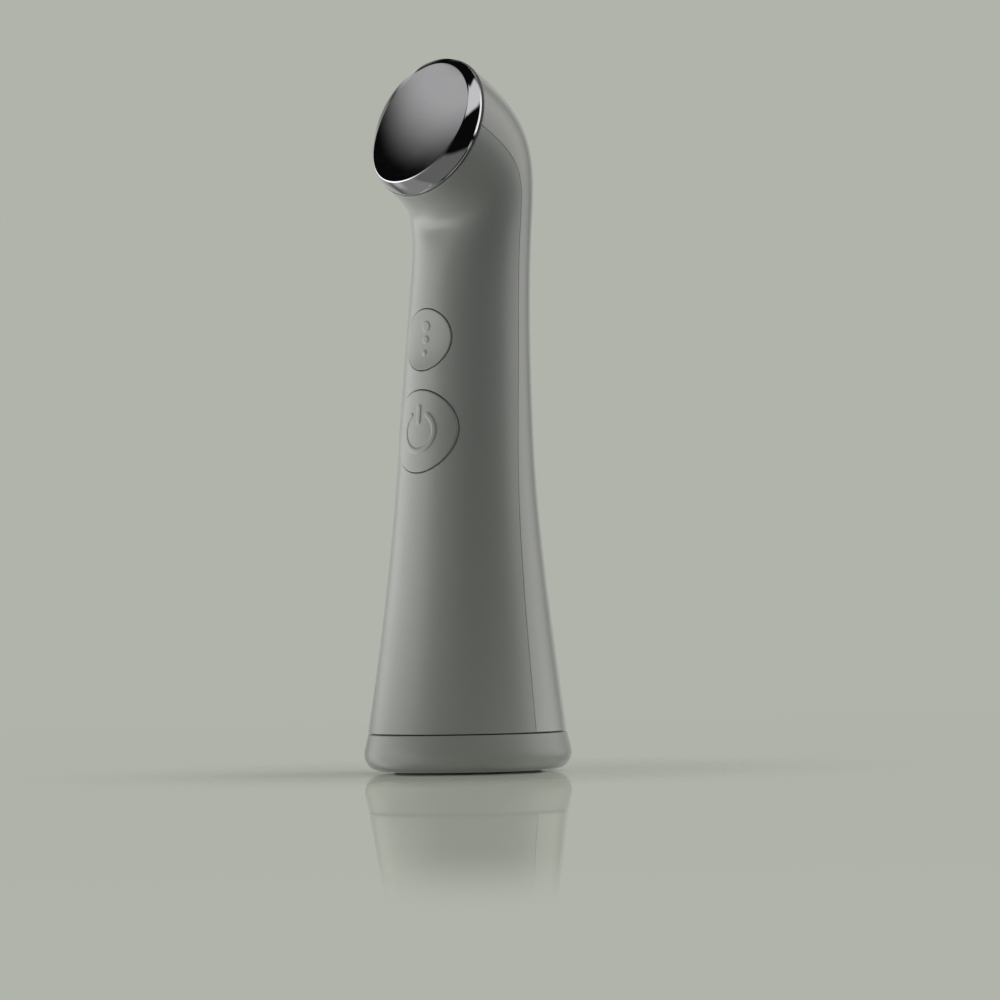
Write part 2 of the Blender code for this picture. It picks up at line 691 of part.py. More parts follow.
def base_cap():
    widest = LOWER_EDGE_RADIUS + CAP_BULGE
    corner = (widest - CAP_CORNER, PAD_STAND + CAP_CORNER)
    recess = PAD_RADIUS + SEAT_GAP
    profile = [(0, CAP_FLOOR_TOP), (CAVITY_RADIUS, CAP_FLOOR_TOP), (CAVITY_RADIUS, COLLAR_TOP),
               (COLLAR_RADIUS, COLLAR_TOP), (COLLAR_RADIUS, SEAL_HEIGHT + GROOVE_HALF_HEIGHT),
               (GROOVE_RADIUS, SEAL_HEIGHT + GROOVE_HALF_HEIGHT),
               (GROOVE_RADIUS, SEAL_HEIGHT - GROOVE_HALF_HEIGHT),
               (COLLAR_RADIUS, SEAL_HEIGHT - GROOVE_HALF_HEIGHT), (COLLAR_RADIUS, CAP_SHOULDER),
               (LOWER_EDGE_RADIUS, CAP_SHOULDER)]
    profile += arc(corner, CAP_CORNER, 0, -90, 6)
    profile += [(recess, PAD_STAND), (recess, PAD_THICKNESS + SEAT_GAP),
                (0, PAD_THICKNESS + SEAT_GAP)]
    return turned_part("base_cap", profile, FRONT_WHITE)


def foot_pad():
    mesh = cylinder_mesh("foot_pad", PAD_RADIUS, PAD_THICKNESS, ROUND_SIDES)
    return soften(add_part("foot_pad", mesh, BLACK_RUBBER), PAD_STAND / 2, 1)


def cap_seal():
    mesh = ring_mesh("cap_seal", SEAL_RADIUS, SEAL_SECTION_RADIUS)
    return add_part("cap_seal", mesh, BLACK_RUBBER, placed(Vector((0, 0, SEAL_HEIGHT))))


def contact_holder():
    mesh = cylinder_mesh("contact_holder", CAVITY_RADIUS - SEAT_GAP, HOLDER_THICKNESS, ROUND_SIDES)
    return add_part("contact_holder", mesh, BLACK_PLASTIC, placed(Vector((0, 0, HOLDER_BOTTOM))))


def bridge_contact():
    """The plate under both cells, with a stud that meets the right cell's nub."""
    mesh = box_mesh("bridge_contact", 2 * CELL_OFFSET + CONTACT_SIDE, CONTACT_SIDE,
                    CONTACT_THICKNESS)
    origin = Vector((0, CELL_LINE, BRIDGE_BOTTOM))
    plate = add_part("bridge_contact", mesh, NICKEL, Matrix.Translation(origin))
    height = CELL_BOTTOM - SEAT_GAP - BRIDGE_BOTTOM - CONTACT_THICKNESS / 2
    stud = add_cutter("bridge_stud", cylinder_mesh("bridge_stud", NUB_RADIUS, height), placed(
        Vector((CELL_OFFSET, CELL_LINE, BRIDGE_BOTTOM + CONTACT_THICKNESS / 2))))
    combine(plate, stud, "UNION")
    return plate


def cell_spring(name, across, bottom):
    """A short coil of wire that presses on a cell's flat end."""
    rise = SPRING_LENGTH - 2 * SPRING_WIRE_RADIUS
    steps = math.ceil(SPRING_TURNS * SPRING_TURN_STEPS)
    points = []
    for step in range(steps + 1):
        turn = math.tau * SPRING_TURNS * step / steps
        height = bottom + SPRING_WIRE_RADIUS + rise * step / steps
        points.append((across + SPRING_RADIUS * math.cos(turn),
                       CELL_LINE + SPRING_RADIUS * math.sin(turn), height))
    wire = tube_part(name, points, SPRING_WIRE_RADIUS, NICKEL)
    wire.data.bevel_resolution = 1
    return wire


# Cells and tray

def cell(name, across, nub_up):
    top = CELL_LENGTH - NUB_HEIGHT
    profile = [(0, CELL_LENGTH), (NUB_RADIUS, CELL_LENGTH), (NUB_RADIUS, top)]
    profile += arc((CELL_RADIUS - CELL_ROUNDING, top - CELL_ROUNDING), CELL_ROUNDING, 90, 0, 3)
    profile += arc((CELL_RADIUS - CELL_ROUNDING, CELL_ROUNDING), CELL_ROUNDING, 0, -90, 3)
    profile += [(0, 0)]
    if nub_up:
        matrix = placed(Vector((across, CELL_LINE, CELL_BOTTOM)))
    else:
        matrix = placed(Vector((across, CELL_LINE, CELL_TOP)), -UP)
    return turned_part(name, profile, CELL_SLEEVE, matrix, MIDDLE_SIDES)


def battery_tray():
    """Two bores in a stadium-shaped block, with flanges that meet the shell at both ends."""
    span = 2 * radius_at(SHELL_BOTTOM)
    block = level_disc_mesh("battery_tray", SHELL_WALL + SEAT_GAP, TRAY_BOTTOM, TRAY_TOP)
    tray = add_part("battery_tray", block, BLACK_PLASTIC)
    low = TRAY_BOTTOM + TRAY_FLANGE
    waist = TRAY_CEILING - TRAY_FLANGE - low
    outer = BORE_RADIUS + TRAY_WALL
    relief = add_cutter("tray_relief", box_mesh("tray_relief", span, span, waist),
                        Matrix.Translation(Vector((0, CELL_LINE, low))))
    core_length = waist + 2 * OVERRUN
    bottom = low - OVERRUN
    middle_mesh = box_mesh("tray_middle", 2 * CELL_OFFSET, 2 * outer, core_length)
    middle = add_cutter("tray_middle", middle_mesh,
                        Matrix.Translation(Vector((0, CELL_LINE, bottom))))
    combine(relief, middle, "DIFFERENCE")
    for name, side in (("left", -1), ("right", 1)):
        base = Vector((side * CELL_OFFSET, CELL_LINE, bottom))
        end = add_cutter("tray_end_" + name, cylinder_mesh("tray_end", outer, core_length, ROUND_SIDES),
                         placed(base))
        combine(relief, end, "DIFFERENCE")
    combine(tray, relief, "DIFFERENCE")
    for name, side in (("left", -1), ("right", 1)):
        base = Vector((side * CELL_OFFSET, CELL_LINE, TRAY_BOTTOM - OVERRUN))
        bore_mesh = cylinder_mesh("bore", BORE_RADIUS, TRAY_CEILING - TRAY_BOTTOM + OVERRUN,
                                  MIDDLE_SIDES)
        combine(tray, add_cutter("bore_" + name, bore_mesh, placed(base)), "DIFFERENCE")
        mouth = Vector((side * LEAD_SPREAD, CELL_LINE, TRAY_CEILING - OVERRUN))
        slot_mesh = cylinder_mesh("lead_hole", LEAD_RADIUS + SEAT_GAP, TRAY_TOP_WALL + 2 * OVERRUN)
        combine(tray, add_cutter("lead_hole_" + name, slot_mesh, placed(mouth)), "DIFFERENCE")
    return tray


def contact_plate(name, across, stud_radius=None):
    """A plate over a cell, with a stud where the cell shows its nub."""
    side = min(CONTACT_SIDE, math.sqrt(2) * (BORE_RADIUS - SEAT_GAP))
    mesh = box_mesh(name, side, side, CONTACT_THICKNESS)
    plate = add_part(name, mesh, NICKEL,
                     Matrix.Translation(Vector((across, CELL_LINE, PLATE_BOTTOM))))
    if stud_radius:
        foot = Vector((across, CELL_LINE, CELL_TOP + SEAT_GAP))
        height = PLATE_BOTTOM + CONTACT_THICKNESS / 2 - foot.z
        stud = add_cutter(name + "_stud", cylinder_mesh("stud", stud_radius, height), placed(foot))
        combine(plate, stud, "UNION")
    return plate


# Board

def board_half_width():
    """Half of the widest flat board that clears the shell at both its ends."""
    widths = []
    for height in (BOARD_BOTTOM, UPPER_SCREW_HEIGHT, BOARD_TOP):
        reach = radius_at(height) - SHELL_WALL - BOARD_SIDE_GAP
        for face in (BOARD_FRONT, BOARD_BACK):
            widths.append(math.sqrt(reach ** 2 - (face - spine_at(height)) ** 2))
    return min(widths)


def main_board():
    width = 2 * board_half_width()
    mesh = box_mesh("main_board", width, BOARD_THICKNESS, BOARD_TOP - BOARD_BOTTOM)
    origin = Vector((0, (BOARD_FRONT + BOARD_BACK) / 2, BOARD_BOTTOM))
    board = add_part("main_board", mesh, BOARD_GREEN, Matrix.Translation(origin))
    for name, across, height in screw_places():
        start = Vector((across, BOARD_BACK + OVERRUN, height))
        hole_mesh = cylinder_mesh("board_hole", SCREW_RADIUS + SEAT_GAP,
                                  BOARD_THICKNESS + 2 * OVERRUN)
        combine(board, add_cutter("board_hole_" + name, hole_mesh, placed(start, FORWARD)),
                "DIFFERENCE")
    return board


def screw_part(name, seat, axis, grip):
    """A pan-head screw whose head rests on a seat and whose shank runs along an axis."""
    profile = [(0, grip), (SCREW_RADIUS, grip), (SCREW_RADIUS, 0), (SCREW_HEAD_RADIUS, 0),
               (SCREW_HEAD_RADIUS, -SCREW_HEAD_HEIGHT), (0, -SCREW_HEAD_HEIGHT)]
    part = turned_part(name, profile, STEEL, placed(seat, axis), SMALL_SIDES)
    slot_mesh = box_mesh("slot", SCREW_HEAD_RADIUS, SCREW_RADIUS / 2, SLOT_DEPTH + OVERRUN)
    slot = add_cutter(name + "_slot", slot_mesh,
                      placed(seat - (SCREW_HEAD_HEIGHT + OVERRUN) * axis, axis))
    combine(part, slot, "DIFFERENCE")
    return part


def board_screws():
    grip = BOARD_THICKNESS + SEAT_GAP + SCREW_GRIP
    for name, across, height in screw_places():
        seat = Vector((across, BOARD_BACK + SEAT_GAP, height))
        screw_part("board_screw_" + name, seat, FORWARD, grip)


def switch(name, height):
    mesh = box_mesh(name, SWITCH_SIDE, SWITCH_SIDE, SWITCH_DEPTH)
    body = add_part(name, mesh, CHIP_BLACK,
                    placed(Vector((0, BOARD_FRONT - SEAT_GAP, height)), FORWARD))
    depth = STEM_SINK + BUTTON_TRAVEL + SEAT_GAP
    bore_mesh = cylinder_mesh("stem_bore", STEM_RADIUS + SEAT_GAP, depth + OVERRUN)
    bore = add_cutter(name + "_bore", bore_mesh,
                      placed(Vector((0, SWITCH_FRONT + depth, height)), FORWARD))
    combine(body, bore, "DIFFERENCE")
    return body


def stem(name, height):
    mesh = cylinder_mesh(name, STEM_RADIUS, STEM_SHOW + STEM_SINK)
    return add_part(name, mesh, SWITCH_BROWN,
                    placed(Vector((0, STEM_FRONT + STEM_SHOW + STEM_SINK, height)), FORWARD))


def board_component(name, width, length, height, middle, material):
    """A block on the back of the board, centred on the board's line."""
    mesh = box_mesh(name, width, length, height)
    return add_part(name, mesh, material,
                    placed(Vector((0, BOARD_BACK + SEAT_GAP, middle)), -FORWARD))


def board_components():
    """Coil, driver, controller and capacitor in turn up the back of the board."""
    low = LOWER_SCREW_HEIGHT + SCREW_HEAD_RADIUS
    high = UPPER_SCREW_HEIGHT - SCREW_HEAD_RADIUS
    lengths = (COIL_SIDE, DRIVER_SIDE, CHIP_SIDE, 2 * CAPACITOR_RADIUS)
    space = (high - low - sum(lengths)) / (len(lengths) + 1)
    middles = []
    bottom = low
    for length in lengths:
        middles.append(bottom + space + length / 2)
        bottom += space + length
    board_component("boost_coil", COIL_SIDE, COIL_SIDE, COIL_HEIGHT, middles[0], FERRITE)
    board_component("driver_chip", DRIVER_SIDE, DRIVER_SIDE, DRIVER_HEIGHT, middles[1], CHIP_BLACK)
    board_component("controller_chip", CHIP_SIDE, CHIP_SIDE, CHIP_HEIGHT, middles[2], CHIP_BLACK)
    can = cylinder_mesh("board_capacitor", CAPACITOR_RADIUS, CAPACITOR_HEIGHT, MIDDLE_SIDES)
    add_part("board_capacitor", can, STEEL,
             placed(Vector((0, BOARD_BACK + SEAT_GAP, middles[3])), -FORWARD))


# Buttons

def button(name, radius, height):
    """A cap cut from the body's own surface, with two retaining lugs and a post for the switch."""
    reach = radius + LUG_REACH + OVERRUN
    low, high = place_at(height - reach), place_at(height + reach)
    spread = math.asin(min(1, reach / (radius_at(height) + BUTTON_PROUD)))
    patch = shell_patch_mesh(name, lambda place: -spread, lambda place: spread, BUTTON_COLUMNS,
                             BUTTON_PROUD, low, high, BUTTON_ROWS)
    cap = add_part(name, patch, FRONT_WHITE)
    thicken(cap, BUTTON_THICKNESS)
    centre = Vector((0, front_at(height), height))
    cap.data.transform(Matrix.Translation(-centre))
    cap.location = centre
    back = Vector((0, spine_at(height), height))
    round_mesh = cylinder_mesh("round", radius, radius_at(height) + OVERRUN, ROUND_SIDES)
    combine(cap, add_cutter(name + "_round", round_mesh, placed(back, FORWARD)), "INTERSECT")
    for end, side in (("low", -1), ("high", 1)):
        edge = height + side * (radius + LUG_REACH)
        face = max(front_at(edge), front_at(height + side * radius)) + SHELL_WALL + SEAT_GAP
        inner_end = height + side * (radius - LUG_REACH)
        origin = Vector((0, face + LUG_THICKNESS / 2, min(edge, inner_end)))
        lug_mesh = box_mesh("lug", LUG_WIDTH, LUG_THICKNESS, 2 * LUG_REACH)
        lug = add_cutter(f"{name}_lug_{end}", lug_mesh, Matrix.Translation(origin))
        combine(cap, lug, "UNION")
    root = front_at(height) + BUTTON_THICKNESS / 2
    post_end = STEM_FRONT - SEAT_GAP
    post_mesh = cylinder_mesh("post", POST_RADIUS, post_end - root)
    post = add_cutter(name + "_post", post_mesh, placed(Vector((0, post_end, height)), FORWARD))
    combine(cap, post, "UNION")
    return cap


def raised_stroke_mesh(name, path, button_height):
    """A raised line on a button along (across, up) points, its face parallel to the button's."""
    rings = []
    for step, point in enumerate(path):
        before, after = path[max(step - 1, 0)], path[min(step + 1, len(path) - 1)]
        run = Vector((after[0] - before[0], after[1] - before[1])).normalized()
        aside = Vector((run.y, -run.x)) * POWER_MARK_STROKE
        ring = []
        for side, sink in ((-1, False), (-1, True), (1, True), (1, False)):
            across = point[0] + side * aside.x
            height = button_height + point[1] + side * aside.y
            face = front_at(height, across, -BUTTON_PROUD)
            ring.append(Vector((across, face + BUTTON_THICKNESS / 2 if sink else face - MARK_HEIGHT,
                                height)))
        rings.append(ring)
    return loft_mesh(name, rings)


def power_button():
    """The large button, with a raised ring that is open at the top and a bar in the opening."""
    cap = button("power_button", POWER_RADIUS, POWER_HEIGHT)
    turns = [POWER_MARK_OPENING / 2 + (math.tau - POWER_MARK_OPENING) * step / MARK_STEPS
             for step in range(MARK_STEPS + 1)]
    ring = [(POWER_MARK_RADIUS * math.sin(turn), POWER_MARK_RADIUS * math.cos(turn))
            for turn in turns]
    bar = [(0, POWER_MARK_RADIUS * share) for share in POWER_BAR_SHARES]
    for name, path in (("power_ring", ring), ("power_bar", bar)):
        mark = add_cutter(name, raised_stroke_mesh(name, path, POWER_HEIGHT))
        combine(cap, mark, "UNION")
    return cap


def mode_button():
    """The small button, with three raised dots that grow upward."""
    cap = button("mode_button", MODE_RADIUS, MODE_HEIGHT)
    for step, radius in enumerate(DOT_RADII):
        height = MODE_HEIGHT + (step - 1) * DOT_SPACING
        front = front_at(height) - BUTTON_PROUD - MARK_HEIGHT
        depth = MARK_HEIGHT + BUTTON_THICKNESS / 2
        mesh = cylinder_mesh("dot", radius, depth)
        origin = Vector((0, front + depth, height))
        combine(cap, add_cutter(f"mode_dot_{step}", mesh, placed(origin, FORWARD)), "UNION")
    return cap


# Motor and its bulkhead

def motor_bulkhead():
    """A shaped disc that fits the neck, with a blind bore for the motor and a slot for leads."""
    block = level_disc_mesh("motor_bulkhead", SHELL_WALL + SEAT_GAP, BULKHEAD_BOTTOM, BULKHEAD_TOP)
    disc = add_part("motor_bulkhead", block, GREY_PLASTIC)
    bore_mesh = cylinder_mesh("motor_bore", MOTOR_RADIUS + SEAT_GAP, BULKHEAD_HEIGHT, MIDDLE_SIDES)
    bore = add_cutter("motor_bore", bore_mesh, placed(Vector(
        (0, MOTOR_LINE, BULKHEAD_BOTTOM + BULKHEAD_FLOOR))))
    combine(disc, bore, "DIFFERENCE")
    for name, side in (("left", -1), ("right", 1)):
        mouth = Vector((side * LEAD_SPREAD, MOTOR_LINE, BULKHEAD_BOTTOM - OVERRUN))
        hole_mesh = cylinder_mesh("motor_lead_hole", LEAD_RADIUS + SEAT_GAP,
                                  BULKHEAD_FLOOR + 2 * OVERRUN)
        combine(disc, add_cutter("motor_lead_hole_" + name, hole_mesh, placed(mouth)),
                "DIFFERENCE")
    wall = front_at(BULKHEAD_BOTTOM, 0, SHELL_WALL)
    slot_depth = MOTOR_LINE - MOTOR_RADIUS - SEAT_GAP - TRAY_WALL - wall
    slot_mesh = box_mesh("lead_slot", LEAD_SLOT_WIDTH, slot_depth + OVERRUN,
                         BULKHEAD_HEIGHT + 2 * OVERRUN)
    slot_origin = Vector((0, wall + (slot_depth - OVERRUN) / 2, BULKHEAD_BOTTOM - OVERRUN))
    combine(disc, add_cutter("lead_slot", slot_mesh, Matrix.Translation(slot_origin)),
            "DIFFERENCE")
    return disc


def vibration_motor():
    bore = SHAFT_RADIUS + SEAT_GAP
    top = MOTOR_LENGTH + BEARING_HEIGHT
    profile = [(0, top - SHAFT_SINK - SEAT_GAP), (bore, top - SHAFT_SINK - SEAT_GAP), (bore, top),
               (BEARING_RADIUS, top), (BEARING_RADIUS, MOTOR_LENGTH)]
    profile += arc((MOTOR_RADIUS - SEAT_GAP, MOTOR_LENGTH - SEAT_GAP), SEAT_GAP, 90, 0, 2)
    profile += arc((MOTOR_RADIUS - SEAT_GAP, SEAT_GAP), SEAT_GAP, 0, -90, 2)
    profile += [(0, 0)]
    return turned_part("vibration_motor", profile, STEEL,
                       placed(Vector((0, MOTOR_LINE, MOTOR_BOTTOM))), MIDDLE_SIDES)


def motor_shaft():
    bottom = MOTOR_TOP + BEARING_HEIGHT - SHAFT_SINK
    length = WEIGHT_BOTTOM + WEIGHT_LENGTH - bottom
    mesh = cylinder_mesh("motor_shaft", SHAFT_RADIUS, length)
    return add_part("motor_shaft", mesh, STEEL, placed(Vector((0, MOTOR_LINE, bottom))))


def eccentric_weight():
    """A D-shaped weight, bored for the shaft."""
    mesh = cylinder_mesh("eccentric_weight", WEIGHT_RADIUS, WEIGHT_LENGTH, MIDDLE_SIDES)
    weight = add_part("eccentric_weight", mesh, TUNGSTEN,
                      placed(Vector((0, MOTOR_LINE, WEIGHT_BOTTOM))))
    flat_mesh = box_mesh("weight_flat", 2 * WEIGHT_RADIUS, 2 * WEIGHT_RADIUS + OVERRUN,
                         WEIGHT_LENGTH + 2 * OVERRUN)
    flat_origin = Vector((-WEIGHT_FLAT - WEIGHT_RADIUS, MOTOR_LINE, WEIGHT_BOTTOM - OVERRUN))
    combine(weight, add_cutter("weight_flat", flat_mesh, Matrix.Translation(flat_origin)),
            "DIFFERENCE")
    bore_mesh = cylinder_mesh("weight_bore", SHAFT_RADIUS + SEAT_GAP, WEIGHT_LENGTH + 2 * OVERRUN)
    bore = add_cutter("weight_bore", bore_mesh,
                      placed(Vector((0, MOTOR_LINE, WEIGHT_BOTTOM - OVERRUN))))
    combine(weight, bore, "DIFFERENCE")
    return weight


# Treatment head, in its own frame: X across, Y up the ring plane, Z forward

def face_rise(across, upward):
    """Height of the polished face over the ring plane."""
    share = math.hypot(across / FACE_HALF_WIDTH, upward / FACE_HALF_HEIGHT)
    crown = FACE_CROWN * (1 - (across / FACE_HALF_WIDTH) ** 2)
    dome = FACE_DOME * (1 - share ** 2)
    return FACE_RISE + crown + dome - upward * math.tan(FACE_TILT)


def face_ring(inset, share, drop):
    """Points round the face, moved in from its rim by an inset, shrunk by a share and lowered."""
    ring = []
    for step in range(HEAD_COLUMNS):
        turn = math.tau * step / HEAD_COLUMNS
        across = (FACE_HALF_WIDTH - inset) * share * math.cos(turn)
        upward = (FACE_HALF_HEIGHT - inset) * share * math.sin(turn)
        ring.append(Vector((across, upward, face_rise(across, upward) - drop)))
    return ring


def plain_ring(radius, rise):
    turns = [math.tau * step / HEAD_COLUMNS for step in range(HEAD_COLUMNS)]
    return [Vector((radius * math.cos(turn), radius * math.sin(turn), rise)) for turn in turns]


def treatment_head():
    """A formed cup: a round edge at the seam, a slanted band and an oval, slightly domed face."""
    shares = [(step + 1) / HEAD_RINGS for step in range(HEAD_RINGS)]
    edge = plain_ring(RING_RADIUS, RING_EDGE)
    rim = face_ring(0, 1, 0)
    soft_start = [low.lerp(high, 1 - FACE_ROUNDING / (high - low).length)
                  if (high - low).length > FACE_ROUNDING else low.lerp(high, 1 / 2)
                  for low, high in zip(edge, rim)]
    soft_end = face_ring(FACE_ROUNDING, 1, 0)
    soft_middle = [sum((share * point for share, point in zip(CORNER_SHARES, points)), Vector())
                   for points in zip(soft_start, rim, soft_end)]
    rings = [face_ring(HEAD_WALL, share, HEAD_WALL) for share in shares]
    rings += [plain_ring(RING_RADIUS - HEAD_WALL, 0), plain_ring(RING_RADIUS, 0), edge,
              soft_start, soft_middle, soft_end]
    rings += [face_ring(FACE_ROUNDING, share, 0) for share in shares[-2::-1]]
    inner_pole = Vector((0, 0, face_rise(0, 0) - HEAD_WALL))
    outer_pole = Vector((0, 0, face_rise(0, 0)))
    mesh = loft_mesh("treatment_head", rings, inner_pole, outer_pole)
    head = add_part("treatment_head", mesh, CHROME, placed(RING_CENTRE, HEAD_FORWARD))
    for name, side in (("left", -1), ("right", 1)):
        foot = RING_CENTRE + side * HEAD_BOSS_OFFSET * SIDE - (FRAME_TOP - SEAT_GAP) * HEAD_FORWARD
        top = face_rise(HEAD_BOSS_OFFSET, 0) - HEAD_WALL / 2
        boss_mesh = cylinder_mesh("head_boss", HEAD_BOSS_RADIUS, top + FRAME_TOP - SEAT_GAP)
        combine(head, add_cutter("head_boss_" + name, boss_mesh, placed(foot, HEAD_FORWARD)),
                "UNION")
        pilot_mesh = cylinder_mesh("head_pilot", SCREW_RADIUS + SEAT_GAP, OVERRUN + FRAME_TOP)
        pilot = add_cutter("head_pilot_" + name, pilot_mesh,
                           placed(foot - OVERRUN * HEAD_FORWARD, HEAD_FORWARD))
        combine(head, pilot, "DIFFERENCE")
    return head


def head_frame():
    """The plate behind the head, shaped to the shell, with a window for the heater leads."""
    foot = RING_CENTRE - (FRAME_TOP + FRAME_THICKNESS) * HEAD_FORWARD
    slab = cylinder_mesh("head_frame", HEAD_RADIUS + OVERRUN, FRAME_THICKNESS, ROUND_SIDES)
    frame = add_part("head_frame", slab, BLACK_PLASTIC, placed(foot, HEAD_FORWARD))
    combine(frame, CUTTERS.objects["cavity"], "INTERSECT")
    back = RING_CENTRE - (FRAME_TOP + FRAME_THICKNESS + OVERRUN) * HEAD_FORWARD
    cuts = [("frame_window", 0, FRAME_WINDOW_RADIUS),
            ("frame_hole_left", -HEAD_BOSS_OFFSET, SCREW_RADIUS + SEAT_GAP),
            ("frame_hole_right", HEAD_BOSS_OFFSET, SCREW_RADIUS + SEAT_GAP)]
    for name, across, radius in cuts:
        mesh = cylinder_mesh(name, radius, FRAME_THICKNESS + 2 * OVERRUN)
        combine(frame, add_cutter(name, mesh, placed(back + across * SIDE, HEAD_FORWARD)),
                "DIFFERENCE")
    return frame


def head_screws():
    back = RING_CENTRE - (FRAME_TOP + FRAME_THICKNESS + SEAT_GAP) * HEAD_FORWARD
    grip = FRAME_THICKNESS + FRAME_TOP
    for name, side in (("left", -1), ("right", 1)):
        screw_part("head_screw_" + name, back + side * HEAD_BOSS_OFFSET * SIDE, HEAD_FORWARD, grip)


def head_gasket():
    depth = GASKET_SECTION_RADIUS
    place = place_behind_head(depth)
    inner = (body_inside(place, 0, SHELL_WALL + SEAT_GAP) - body_centre(place)).length
    radius = inner - GASKET_SECTION_RADIUS - GASKET_EASE
    mesh = ring_mesh("head_gasket", radius, GASKET_SECTION_RADIUS, section_sides=6)
    return add_part("head_gasket", mesh, BLACK_RUBBER, placed(body_centre(place), HEAD_FORWARD))


FACE_FORWARD = (HEAD_FORWARD + math.tan(FACE_TILT) * HEAD_UP).normalized()
FACE_APEX = RING_CENTRE + face_rise(0, 0) * HEAD_FORWARD
FACE_SAG = (FACE_CROWN + FACE_DOME) * (HEATER_RADIUS / FACE_HALF_WIDTH) ** 2
FILM_FRONT = HEAD_WALL + FACE_SAG + SEAT_GAP
HEATER_FRONT = FILM_FRONT + PAD_FILM_THICKNESS + SEAT_GAP
HEATER_BACK = HEATER_FRONT + HEATER_THICKNESS


def heater_stack():
    """Thermal pad, heater disc and thermistor, in line behind the middle of the face."""
    pad_mesh = cylinder_mesh("thermal_pad", HEATER_RADIUS - SEAT_GAP, PAD_FILM_THICKNESS, MIDDLE_SIDES)
    pad_back = FACE_APEX - (FILM_FRONT + PAD_FILM_THICKNESS) * FACE_FORWARD
    add_part("thermal_pad", pad_mesh, THERMAL_GREY, placed(pad_back, FACE_FORWARD))
    disc_mesh = cylinder_mesh("heater_disc", HEATER_RADIUS, HEATER_THICKNESS, MIDDLE_SIDES)
    add_part("heater_disc", disc_mesh, HEATER_CERAMIC,
             placed(FACE_APEX - HEATER_BACK * FACE_FORWARD, FACE_FORWARD))
    bead = bmesh.new()
    bmesh.ops.create_uvsphere(bead, u_segments=SMALL_SIDES, v_segments=SMALL_SIDES // 2,
                              radius=BEAD_RADIUS)
    bead_centre = FACE_APEX - (HEATER_BACK + SEAT_GAP + BEAD_RADIUS) * FACE_FORWARD
    add_part("thermistor", mesh_from(bead, "thermistor"), BEAD_AMBER,
             placed(bead_centre, FACE_FORWARD))


# Leads

def lead(name, route, material):
    """A lead along a smooth curve through its route."""
    curves = [natural_spline([point[axis] for point in route]) for axis in range(3)]
    steps = [(len(route) - 1) * step / LEAD_STEPS for step in range(LEAD_STEPS + 1)]
    points = [tuple(curve(step) for curve in curves) for step in steps]
    return tube_part(name, points, LEAD_RADIUS, material)


def leads():
    """Battery, motor and heater leads, each a pair that ends on the board."""
    back = BOARD_BACK + SEAT_GAP + LEAD_RADIUS
    face = BOARD_FRONT - SEAT_GAP - LEAD_RADIUS
    for name, side, material in (("positive", -1, RED_WIRE), ("negative", 1, DARK_WIRE)):
        across = side * LEAD_SPREAD
        lead("battery_lead_" + name,
             [Vector((across, CELL_LINE, PLATE_TOP + SEAT_GAP)),
              Vector((across, CELL_LINE + (back - CELL_LINE) * BATTERY_BEND_SHARE, BOARD_BOTTOM)),
              Vector((across, back, BOARD_BOTTOM + BOARD_HEAD_LENGTH * BATTERY_PAD_SHARES[0])),
              Vector((across, back, BOARD_BOTTOM + BOARD_HEAD_LENGTH * BATTERY_PAD_SHARES[1]))],
             material)
        lead("motor_lead_" + name,
             [Vector((across, MOTOR_LINE, MOTOR_BOTTOM - SEAT_GAP)),
              Vector((across, MOTOR_LINE, BULKHEAD_BOTTOM - BULKHEAD_LIFT)),
              Vector((across, back + (MOTOR_LINE - back) * MOTOR_BEND_SHARE,
                      BOARD_TOP - BOARD_HEAD_LENGTH * MOTOR_PAD_SHARES[0])),
              Vector((across, back, BOARD_TOP - BOARD_HEAD_LENGTH * MOTOR_PAD_SHARES[1])),
              Vector((across, back, UPPER_SCREW_HEIGHT))], material)
        tail = FACE_APEX - (HEATER_BACK + SEAT_GAP) * FACE_FORWARD
        start = tail + side * (BEAD_RADIUS + SEAT_GAP + LEAD_RADIUS) * SIDE
        behind = start - LEAD_TAIL * FACE_FORWARD
        neck = Vector((across, face, BULKHEAD_TOP))
        bend = (behind + neck) / 2 - (behind - neck).length * HEATER_BEND_SHARE * FORWARD
        lead("heater_lead_" + name,
             [start, behind, bend, neck,
              Vector((across, face, (BULKHEAD_TOP + BOARD_TOP) / 2)),
              Vector((across, face, BOARD_TOP - BOARD_HEAD_LENGTH * HEATER_PAD_SHARE))], material)


# Assembly

def group(name, origin, names):
    """Hang named parts from one empty, so that they move together."""
    holder = bpy.data.objects.new(name, None)
    holder.location = origin
    PARTS.objects.link(holder)
    bpy.context.view_layer.update()
    for item in names:
        part = PARTS.objects[item]
        part.parent = holder
        part.matrix_parent_inverse = holder.matrix_world.inverted()
    return holder


